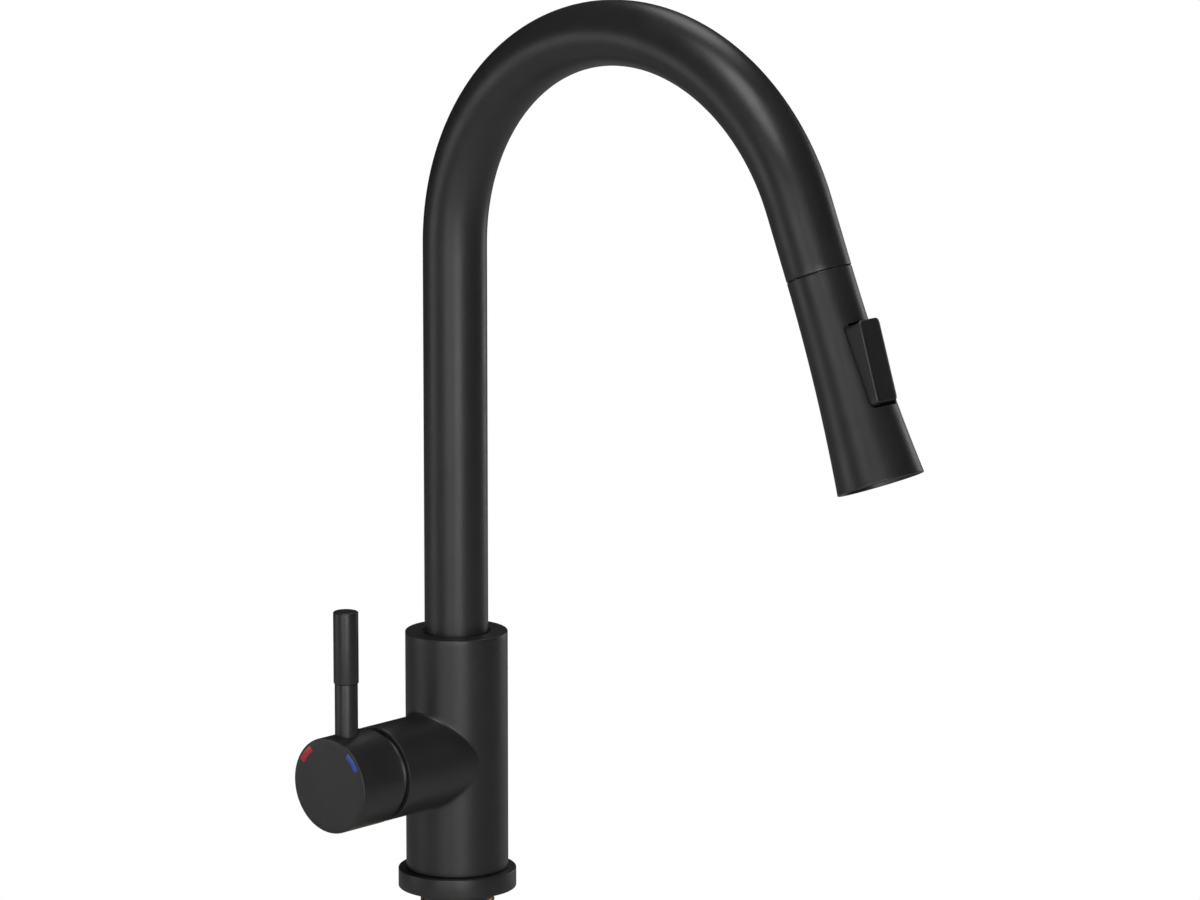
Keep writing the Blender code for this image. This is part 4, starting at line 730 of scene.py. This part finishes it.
def makeMarks():
    size = {
        "middle": 18.4 * mm, "width": 2.7 * mm, "from": radians(35), "to": radians(61.5),
        "thick": 0.3 * mm, "corner": 0.5 * mm, "proud": 0.06 * mm, "bevel": 0.08 * mm,
    }
    for cad, name, finish, slot, side in (
        ("hot_mark", "hot_inlay", hotEnamel, "hot_mark_enamel", 1),
        ("cold_mark", "cold_inlay", coldEnamel, "cold_mark_enamel", -1),
    ):
        bm = bmesh.new()

        def outlineAt(shrink, height):
            half, cornerR = size["width"] / 2 - shrink, size["corner"] - shrink * 0.5
            endTurn = (cornerR + shrink) / size["middle"]
            points = []
            for end, sign in ((size["to"] - endTurn, 1), (size["from"] + endTurn, -1)):
                for k in range(9):
                    a = pi / 2 * k / 4
                    out = sign * ((half - cornerR) * (1 if k <= 4 else -1)) + sign * cornerR * cos(a)
                    along = end + sign * cornerR * sin(a) / size["middle"]
                    points.append((size["middle"] + out, along))
                middleRun = size["to"] - size["from"] - 2 * endTurn
                for k in range(1, 16):
                    points.append((size["middle"] - sign * half, end - sign * middleRun * k / 16))
            return [bm.verts.new((r * cos(a), side * r * sin(a), height)) for r, a in points]

        rings = [
            outlineAt(0, hubEnd - size["thick"]),
            outlineAt(0, hubEnd + 0.03 * mm),
            outlineAt(size["bevel"], hubEnd + size["proud"]),
        ]
        for firstRing, second in zip(rings, rings[1:]):
            join(bm, firstRing, second)
        bm.faces.new(rings[0])
        bm.faces.new(rings[-1])
        wear(finishMesh(bm, name, valveAxis), finish, "lever", slot, cad)


def makeLever():
    rodLow, rodHigh = boxOf("lever_rod")
    gripLow, gripHigh = boxOf("lever_grip")
    middle = Matrix.Translation(((gripLow.x + gripHigh.x) / 2, 0, 0))
    rodR, gripR = (rodHigh.y - rodLow.y) / 2, (gripHigh.y - gripLow.y) / 2
    rodFoot, rodEnd, shoulder = valveZ + hubR - 4.5 * mm, gripHigh.z - 6 * mm, gripLow.z - 0.12 * mm
    rod = turn("lever_stem", [
        (0, rodFoot), (rodR, rodFoot), (rodR, shoulder, 0.15 * mm),
        (rodR - 0.9 * mm, shoulder), (rodR - 0.9 * mm, rodEnd), (0, rodEnd),
    ], middle, 96, closed=False)
    wear(rod, satinBlack, "lever", "matt_black_coat", "lever_rod")
    grip = turn("lever_sleeve", [
        (rodR - 0.8 * mm, gripLow.z), (gripR, gripLow.z, 0.3 * mm),
        (gripR, gripHigh.z, 0.7 * mm), (0, gripHigh.z),
        (0, gripHigh.z - 5.5 * mm), (rodR - 0.8 * mm, gripHigh.z - 5.5 * mm),
    ], middle, 96)
    wear(grip, satinBlack, "lever", "matt_black_coat", "lever_grip")


def spoutAt(distance, foot):  # centre and direction after so much of the spout's line, from the foot
    riser = spoutBend["riserTop"] - foot
    bendR, sweep = spoutBend["bendR"], pi - headTilt
    if distance <= riser:
        return Vector((0, 0, foot + distance)), Vector((0, 0, 1))
    turned = (distance - riser) / bendR
    if turned <= sweep:
        centre = Vector((0, -bendR * (1 - cos(turned)), spoutBend["riserTop"] + bendR * sin(turned)))
        return centre, Vector((0, -sin(turned), cos(turned)))
    return seam - headDown * (spoutBend["tail"] - (distance - riser - sweep * bendR)), headDown.copy()


def spoutLength(foot):
    return spoutBend["riserTop"] - foot + spoutBend["bendR"] * (pi - headTilt) + spoutBend["tail"]


def ringAcross(bm, centre, along, radius, sides):
    across = Vector((1, 0, 0))
    up = along.cross(across)
    turns = [2 * pi * k / sides for k in range(sides)]
    return [bm.verts.new(centre + (across * sin(t) + up * cos(t)) * radius) for t in turns]


def makeSpout():
    size = {"sides": 112, "wall": 1.5 * mm, "edge": 0.35 * mm, "step": 3.2 * mm, "boreStep": 9 * mm}
    foot = boxOf("spout_tube")[0].z
    whole = spoutLength(foot)
    bm = bmesh.new()
    rings = []

    def addRing(distance, radius):
        rings.append(ringAcross(bm, *spoutAt(distance, foot), radius, size["sides"]))

    for distance in evenSteps(0, whole - size["edge"], size["step"]):
        addRing(distance, tubeR)
    for along, inward in quarter(size["edge"]):
        addRing(whole - size["edge"] + along, tubeR - inward)
    for distance in reversed(evenSteps(0, whole, size["boreStep"])):
        addRing(distance, tubeR - size["wall"])
    for first, second in zip(rings, rings[1:] + rings[:1]):
        join(bm, first, second)
    wear(finishMesh(bm, "gooseneck", Matrix()), satinBlack, "spout", "matt_black_coat", "spout_tube")


def makeDock():
    bore, outer = tubeR - 3.6 * mm, tubeR - 1.8 * mm
    for cad, name, finish, slot, low, high in (
        ("dock_insert", "dock_sleeve", blackPlastic, "black_plastic", -22 * mm, -4.9 * mm),
        ("dock_magnet", "dock_ring", uprightSteel, "steel", -4.6 * mm, -0.3 * mm),
    ):
        ring = turn(name, [
            (bore, low), (outer, low), (outer, high, 0.3 * mm), (bore, high, 0.6 * mm),
        ], headAxis, 112)
        wear(ring, finish, "spout", slot, cad)


hose = {
    "r": 5.5 * mm, "sides": 60, "strands": 10, "pitch": 16 * mm, "relief": 0.14 * mm,
    "fine": 0.42 * mm, "coarse": 4 * mm, "reach": 26 * mm, "bare": 20 * mm, "end": 33.9 * mm,
}


def makeHosePiece(name, stations, foot):  # (distance along the spout, distance along the drawn-out hose)
    bm = bmesh.new()
    marks = bm.loops.layers.uv.new("sleeve")
    rings = []
    for distance, laid in stations:
        centre, along = spoutAt(distance, foot)
        across = Vector((1, 0, 0))
        up = along.cross(across)
        ring = []
        for k in range(hose["sides"]):
            t = 2 * pi * k / hose["sides"]
            twist = 2 * pi * laid / hose["pitch"]
            weave = max(sin(hose["strands"] * (t + twist)), sin(hose["strands"] * (t - twist)))
            radius = hose["r"] - hose["relief"] * (1 - weave) / 2
            ring.append(bm.verts.new(centre + (across * sin(t) + up * cos(t)) * radius))
        rings.append(ring)
    for (firstRing, first), (secondRing, second) in zip(zip(rings, stations), zip(rings[1:], stations[1:])):
        for k in range(hose["sides"]):
            after = (k + 1) % hose["sides"]
            face = bm.faces.new((firstRing[k], firstRing[after], secondRing[after], secondRing[k]))
            places = ((k, first[1]), (k + 1, first[1]), (k + 1, second[1]), (k, second[1]))
            for loop, (side, laid) in zip(face.loops, places):
                loop[marks].uv = (side / hose["sides"], laid)
    for ring in (rings[0], rings[-1]):
        bm.faces.new(ring)
    return finishMesh(bm, name, Matrix(), 60)


def makeHose():
    foot = boxOf("pull_hose")[0].z
    whole = spoutLength(foot) - hose["end"]
    drawn = whole - hose["reach"]
    fine = evenSteps(0, hose["bare"], hose["fine"])
    stowed = fine + evenSteps(hose["bare"], drawn, hose["coarse"])[1:]
    stowedPiece = makeHosePiece("hose_in_spout", [(d, d) for d in stowed], foot)
    wear(stowedPiece, hoseSleeve, "spout", "hose_braid", "pull_hose")
    start, end = spoutAt(drawn, foot)[0], spoutAt(whole, foot)[0]
    stations, laid, count = [], 0.0, 4000
    for k in range(count + 1):  # close rings where the hose draws out, so that it stays round and woven
        share = k / count
        weight = share * share * (3 - 2 * share)
        drawnTo = share * hose["reach"] + weight * pullOut
        if k in (0, count) or drawnTo - laid >= hose["fine"]:
            stations.append((drawn + share * hose["reach"], drawn + drawnTo))
            laid = drawnTo
    piece = makeHosePiece("pull_out_hose", stations, foot)
    piece.data.materials.append(hoseSleeve)
    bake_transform(piece)
    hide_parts("pull_hose")


head = {
    "long": 91.3 * mm, "flare": 4.73 * mm, "wall": 1.6 * mm, "seam": 0.35 * mm, "shoulder": 3 * mm,
    "seamEdge": 0.35 * mm, "hole": 7.9 * mm, "lip": 0.6 * mm, "innerLip": 0.3 * mm,
    "ends": 1.2 * mm, "rowGap": 1.1 * mm, "columns": 160,
}


def headRadius(along):
    return tubeR + head["flare"] * (along / head["long"]) ** 2


def roundedRectAt(angle, halfWide, halfLong, corner):  # the outline's point that way, across and along
    x, y = sin(angle), cos(angle)
    near, far = 0.0, halfWide + halfLong
    for _ in range(40):
        reach = (near + far) / 2
        dx = max(0.0, abs(x) * reach - halfWide + corner)
        dy = max(0.0, abs(y) * reach - halfLong + corner)
        outside = hypot(dx, dy) > corner if dx > 0 and dy > 0 else max(dx, dy) > corner
        near, far = (near, reach) if outside else (reach, far)
    return x * near, y * near


window = {
    "wide": 8.15 * mm, "low": 24.4 * mm, "high": 60.95 * mm, "corner": 2.3 * mm, "edge": 0.3 * mm,
    "margin": 5 * mm, "reach": 24, "between": 5,
}


def makeSprayShell():
    middle, halfLong = (window["low"] + window["high"]) / 2, (window["high"] - window["low"]) / 2
    heights = evenSteps(head["ends"], head["long"] - head["ends"], head["rowGap"])
    low = min(j for j, h in enumerate(heights) if h > window["low"] - window["margin"])
    high = max(j for j, h in enumerate(heights) if h < window["high"] + window["margin"])
    space = (window["reach"], low, high)
    edge = window["edge"]

    def rim(angle, grow):
        across, along = roundedRectAt(angle, window["wide"] + grow, halfLong + grow, window["corner"] + grow)
        return across, middle + along

    bm = bmesh.new()
    skins = []
    angles = None
    for shrink, grow in ((0, edge), (head["wall"], 0)):
        rows = [(headRadius(h) - shrink, h) for h in heights]

        def holeAt(angle):
            across, along = rim(angle, grow)
            return asin(across / (headRadius(along) - shrink)), along

        skin = skinWithHole(bm, rows, head["columns"], space, middle, holeAt, window["between"], angles)
        angles = skin["angles"]
        skins.append(skin)
    outer, inner = skins
    ring = outer["hole"]
    stations = []
    for inward, down in quarter(edge):
        points = []
        for angle in angles:
            across, along = rim(angle, edge - inward)
            points.append(Vector((across, sqrt(headRadius(along) ** 2 - across**2) - down, along)))
        stations.append(points)
    ring = carryOn(bm, ring, stations)
    join(bm, ring, inner["hole"])

    def around(radius, height):
        turns = [2 * pi * i / head["columns"] for i in range(head["columns"])]
        return [Vector((radius * sin(t), radius * cos(t), height)) for t in turns]

    seamFoot = head["seam"] + head["seamEdge"]
    rounded = [(0, 0), *quarter(head["seamEdge"])]
    top = [around(tubeR - inward, seamFoot - along) for along, inward in rounded]
    top += [around(head["hole"], head["seam"]), around(head["hole"], head["shoulder"])]
    top.append(around(headRadius(head["shoulder"]) - head["wall"], head["shoulder"]))
    ring = carryOn(bm, outer["first"], top)
    join(bm, ring, inner["first"])
    wide = headRadius(head["long"])
    inside = wide - head["wall"]
    rounded = [(0, 0), *quarter(head["lip"], 6)]
    bottom = [around(wide - inward, head["long"] - head["lip"] + along) for along, inward in rounded]
    rounded = [(0, 0), *quarter(head["innerLip"])]
    bottom += [around(inside + head["innerLip"] - inward, head["long"] - down) for inward, down in rounded]
    ring = carryOn(bm, outer["last"], bottom)
    join(bm, ring, inner["last"])
    shell = finishMesh(bm, "spray_housing", headAxis)
    wear(shell, satinBlack, "spray_head", "matt_black_coat", "spray_shell")
    near, far, face, back = tubeR - 4.4 * mm, tubeR - 1.9 * mm, 0.26 * mm, 1.4 * mm
    strike = turn("strike_plate", [(near, face), (far, face), (far, back), (near, back)], headAxis, 96)
    wear(strike, uprightSteel, "spray_head", "steel", "strike_ring")


def makeButton():
    pivot = Vector(joints["spray_toggle"]["pos_m"])
    pivotAlong = (pivot - seam).dot(headDown)
    size = {
        "wide": 7.6 * mm, "faceWide": 6.5 * mm, "long": 17.5 * mm, "lean": 0.7 * mm, "lift": 1.6 * mm,
        "corner": 1.9 * mm, "high": 19.45 * mm, "low": 16.5 * mm, "foot": 11.6 * mm, "edge": 1.2 * mm,
        "rises": (0, 0.25, 0.5, 0.75, 0.92), "faceRings": (2.0, 3.2, 4.4, 5.6), "sides": 96,
    }

    def faceAt(along):
        return size["high"] + (size["low"] - size["high"]) * (along + size["long"]) / (2 * size["long"])

    bm = bmesh.new()

    def ringAt(rise, inset, drop=0.0):  # rise 0 at the foot, 1 at the face
        halfWide = size["wide"] + (size["faceWide"] - size["wide"]) * rise - inset
        halfLong = size["long"] - size["lean"] * rise - inset
        ring = []
        for k in range(size["sides"]):
            angle = 2 * pi * k / size["sides"]
            angle = atan2(halfWide * sin(angle), halfLong * cos(angle))
            across, along = roundedRectAt(angle, halfWide, halfLong, max(0.2 * mm, size["corner"] - inset))
            out = size["foot"] + (faceAt(along) - size["foot"]) * rise - drop
            # the upper end leans out over the window's end
            reach = size["lift"] * rise**2 * (0.5 - along / (2 * size["long"]))
            ring.append(bm.verts.new((across, out, along + pivotAlong - reach)))
        return ring

    rings = [ringAt(rise, 0) for rise in size["rises"]]
    rings += [ringAt(1, inward, size["edge"] - down) for down, inward in [(0, 0), *quarter(size["edge"])]]
    rings += [ringAt(1, inset * mm) for inset in size["faceRings"]]
    for firstRing, second in zip(rings, rings[1:]):
        join(bm, firstRing, second)
    for ring in (rings[0], rings[-1]):
        bm.faces.new(ring)
    button = finishMesh(bm, "spray_key", headAxis, 30)
    wear(button, satinBlack, "spray_switch", "matt_black_coat", "spray_button")


def makeOutlet():
    plateR = boxOf("nozzle_plate")[1].x
    low, proud, outlet = 85.6 * mm, 0.9 * mm, 7.0 * mm
    face = low + 2.2 * mm
    plate = turn("outlet_plate", [
        (outlet + 0.5 * mm, low), (plateR, low),
        (plateR, face - 0.5 * mm, 0.3 * mm), (plateR - 1.0 * mm, face, 0.3 * mm),
        (plateR - 4.4 * mm, face), (plateR - 4.6 * mm, face - 0.25 * mm), (plateR - 4.9 * mm, face),
        (outlet + 1.2 * mm, face), (outlet + 0.5 * mm, face - 0.6 * mm, 0.2 * mm),
    ], headAxis, 128)
    wear(plate, blackPlastic, "spray_head", "black_plastic", "nozzle_plate")
    bm = bmesh.new()
    outline = soften([
        (0, face + proud), (0.55 * mm, face + proud, 0.2 * mm), (1.0 * mm, face - 0.1 * mm, 0.15 * mm),
        (1.0 * mm, face - 1.4 * mm), (0, face - 1.4 * mm),
    ])
    for count, inset in ((26, 2.6 * mm), (16, 6.3 * mm)):
        for k in range(count):
            turned = 2 * pi * (k + 0.5) / count
            shift = Vector(((plateR - inset) * cos(turned), (plateR - inset) * sin(turned), 0))
            rings = [ringOf(bm, r, h, 20) for r, h in outline]
            for ring in rings:
                for vert in ring:
                    vert.co += shift
            for first, second in zip(rings, rings[1:]):
                join(bm, first, second)
    nozzles = finishMesh(bm, "spray_nozzles", headAxis)
    wear(nozzles, nozzleSilicone, "spray_head", "nozzle_rubber", "nozzle_mat")
    ring = turn("stream_ring", [
        (outlet - 1.3 * mm, face - 6 * mm), (outlet + 0.35 * mm, face - 6 * mm),
        (outlet + 0.35 * mm, face + 0.4 * mm, 0.4 * mm),
        (outlet - 1.0 * mm, face + 0.4 * mm, 0.4 * mm), (outlet - 1.3 * mm, face - 1.0 * mm),
    ], headAxis, 96)
    wear(ring, blackPlastic, "spray_head", "black_plastic", "aerator_ring")
    makeStreamScreen(outlet - 1.15 * mm, face - 1.0 * mm)


def makeStreamScreen(radius, height):  # honeycomb that smooths the stream
    cell, bar, deep = 1.5 * mm, 0.16 * mm, 0.9 * mm
    opening = cell - 2 * bar
    bm = bmesh.new()
    count = ceil(radius / cell) + 1
    for row in range(-count, count + 1):
        for column in range(-count, count + 1):
            x = (column + (row % 2) / 2) * cell
            y = row * cell * sqrt(3) / 2
            if hypot(x, y) > radius - cell * 0.45:
                continue
            rings = []
            foot = height - deep
            for wide, h in ((cell, height), (cell, foot), (opening, foot), (opening, height)):
                corner = wide / sqrt(3)
                points = [(x + corner * sin(pi / 3 * k), y + corner * cos(pi / 3 * k), h) for k in range(6)]
                rings.append([bm.verts.new(point) for point in points])
            for first, second in zip(rings, rings[1:] + rings[:1]):
                join(bm, first, second)
    screen = finishMesh(bm, "stream_screen", headAxis)
    wear(screen, uprightSteel, "spray_head", "steel", "aerator_screen")


def makeHoseEnd():
    nutTop, nutEnd, ferruleTop = -20.7 * mm, -7.7 * mm, -33.0 * mm
    nutR, bore = tubeR - 4.5 * mm, 3.2 * mm
    outline = [(bore, nutTop), (nutR - 2.2 * mm, nutTop), (nutR, nutTop + 2.4 * mm, 0.5 * mm)]
    for k in range(5):  # finger grooves
        at = nutTop + (3.4 + 1.7 * k) * mm
        groove = nutR - 0.35 * mm
        outline += [(nutR, at), (groove, at + 0.3 * mm), (groove, at + 0.7 * mm), (nutR, at + 1.0 * mm)]
    seat, seatTop = 7.6 * mm, nutTop + 4 * mm
    outline += [(nutR, nutEnd, 0.5 * mm), (seat, nutEnd), (seat, seatTop), (bore, seatTop)]
    wear(turn("hose_swivel_nut", outline, headAxis, 96), uprightBrass, "spray_head", "brass", "hose_nut")
    outer = 6.6 * mm
    crimp = [(bore, ferruleTop), (outer, ferruleTop, 0.4 * mm)]
    for k in range(3):  # crimped rings
        at = ferruleTop + (2.2 + 2.9 * k) * mm
        pressed = outer - 0.4 * mm
        crimp += [(outer, at), (pressed, at + 0.5 * mm), (pressed, at + 1.2 * mm), (outer, at + 1.7 * mm)]
    crimp += [(outer, nutTop - 0.3 * mm, 0.3 * mm), (bore, nutTop - 0.3 * mm)]
    wear(turn("hose_crimp", crimp, headAxis, 96), uprightSteel, "spray_head", "steel", "hose_ferrule")


def finishInside():  # hidden pieces that keep their shape
    inside = (
        (greyPlastic, ("cartridge_base", "cartridge_housing", "disc_carrier", "spindle_guide")),
        (greyPlastic, ("spray_core", "check_valve", "thrust_washer")),
        (lappedCeramic, ("fixed_disc", "moving_disc")),
        (valveBrass, ("cartridge_nut", "spindle")),
        (uprightBrass, ("spout_foot", "diverter_spool")),
        (valveSteel, ("spindle_pin", "button_pin")),
        (uprightSteel, ("handle_set_screw",)),
        (softBlackRubber, ("port_gasket", "swivel_o_ring", "hose_washer", "spool_o_ring")),
    )
    for finish, names in inside:
        for name in names:
            for place in frame["nodes"][name].material_slots:
                place.material = finish


print("body and flange")
makeBody()
makeFlange()
print("fixing under the deck")
makeShank()
makeClamp()
makeTails()
makeCoupling()
print("swivel and lever")
makeSwivel()
makeDome()
makeHub()
makeMarks()
makeLever()
print("gooseneck and hose")
makeSpout()
makeDock()
makeHose()
print("spray head")
makeSprayShell()
makeButton()
makeOutlet()
makeHoseEnd()
finishInside()


studio = {
    "floorZ": -0.235,
    "floorR": 6.0,
    "floor": (0.6, 0.6, 0.6),
    "paler": (0.65, 0.65, 0.65),
    "white": (1.0, 1.0, 1.0, 1.0),
    "world": 0.02,
    "lampAway": 2.0,
    "lampSize": (0.9, 1.2),
    "lamps": {  # azimuth, height and power
        "key": (-40, 0, 15),
        "fill": (-75, 0, 8),
        "side": (-135, -10, 5),
        "roof": (-60, 60, 18),
        "rim": (120, 60, 8),
        "right": (85, 0, 5),
    },
    "aim": (0, -0.1, 0.2),
}
camera = {
    "aim": (0, -0.0846, 0.2075), "away": 3.038, "azimuth": -48.2, "down": 11.4,
    "lens": 212.5, "sensor": 36, "farthest": 50,
}


def placeAround(aim, azimuth, height, away):  # azimuth 0 is in front of the spout
    a, e = radians(azimuth), radians(height)
    return Vector(aim) + away * Vector((sin(a) * cos(e), -cos(a) * cos(e), sin(e)))


def makeStudio():
    finish, tree, shader = newFinish("studio_floor", studio["floor"], 0.8)
    tone = noise(tree, spot(tree), 6, 3)
    tree.links.new(blendColours(tree, tone, studio["floor"], studio["paler"]), shader.inputs["Base Color"])
    glow = node(tree, "ShaderNodeEmission", Strength=1.0, Color=studio["white"])
    lit = node(tree, "ShaderNodeMixShader")
    tree.links.new(node(tree, "ShaderNodeLightPath").outputs["Is Camera Ray"], lit.inputs["Fac"])
    tree.links.new(shader.outputs[0], lit.inputs[1])
    tree.links.new(glow.outputs[0], lit.inputs[2])
    tree.links.new(lit.outputs[0], tree.nodes["Material Output"].inputs["Surface"])
    bm = bmesh.new()
    bmesh.ops.create_circle(bm, cap_ends=True, radius=studio["floorR"], segments=96)
    floor = finishMesh(bm, "studio_floor_disc", Matrix.Translation((0, 0, studio["floorZ"])))
    floor.data.materials.append(finish)
    world = bpy.data.worlds.new("studio_world")
    bpy.context.scene.world = world
    world.use_nodes = True
    tree = world.node_tree
    background = tree.nodes["Background"]
    background.inputs["Strength"].default_value = studio["world"]
    backdrop = node(tree, "ShaderNodeBackground")
    backdrop.inputs["Color"].default_value = studio["white"]
    backdrop.inputs["Strength"].default_value = 1.0
    background.inputs["Color"].default_value = studio["white"]
    seen = node(tree, "ShaderNodeLightPath")
    mix = node(tree, "ShaderNodeMixShader")
    tree.links.new(seen.outputs["Is Camera Ray"], mix.inputs["Fac"])
    tree.links.new(background.outputs[0], mix.inputs[1])
    tree.links.new(backdrop.outputs[0], mix.inputs[2])
    tree.links.new(mix.outputs[0], tree.nodes["World Output"].inputs["Surface"])
    aim = Vector(studio["aim"])
    for name, (azimuth, height, power) in studio["lamps"].items():
        lamp = bpy.data.lights.new(name, "AREA")
        lamp.shape = "RECTANGLE"
        lamp.size, lamp.size_y = studio["lampSize"]
        lamp.energy = power
        made = bpy.data.objects.new(name, lamp)
        bpy.context.scene.collection.objects.link(made)
        made.location = placeAround(aim, azimuth, height, studio["lampAway"])
        made.rotation_euler = (aim - made.location).to_track_quat("-Z", "Y").to_euler()
    lens = bpy.data.cameras.new("camera")
    lens.lens, lens.sensor_width = camera["lens"], camera["sensor"]
    lens.clip_end = camera["farthest"]
    eye = bpy.data.objects.new("camera", lens)
    bpy.context.scene.collection.objects.link(eye)
    bpy.context.scene.view_settings.view_transform = "Standard"
    eye.location = placeAround(camera["aim"], camera["azimuth"], camera["down"], camera["away"])
    eye.rotation_euler = (radians(90 - camera["down"]), 0, radians(camera["azimuth"]))
    bpy.context.scene.camera = eye


print("studio")
makeStudio()
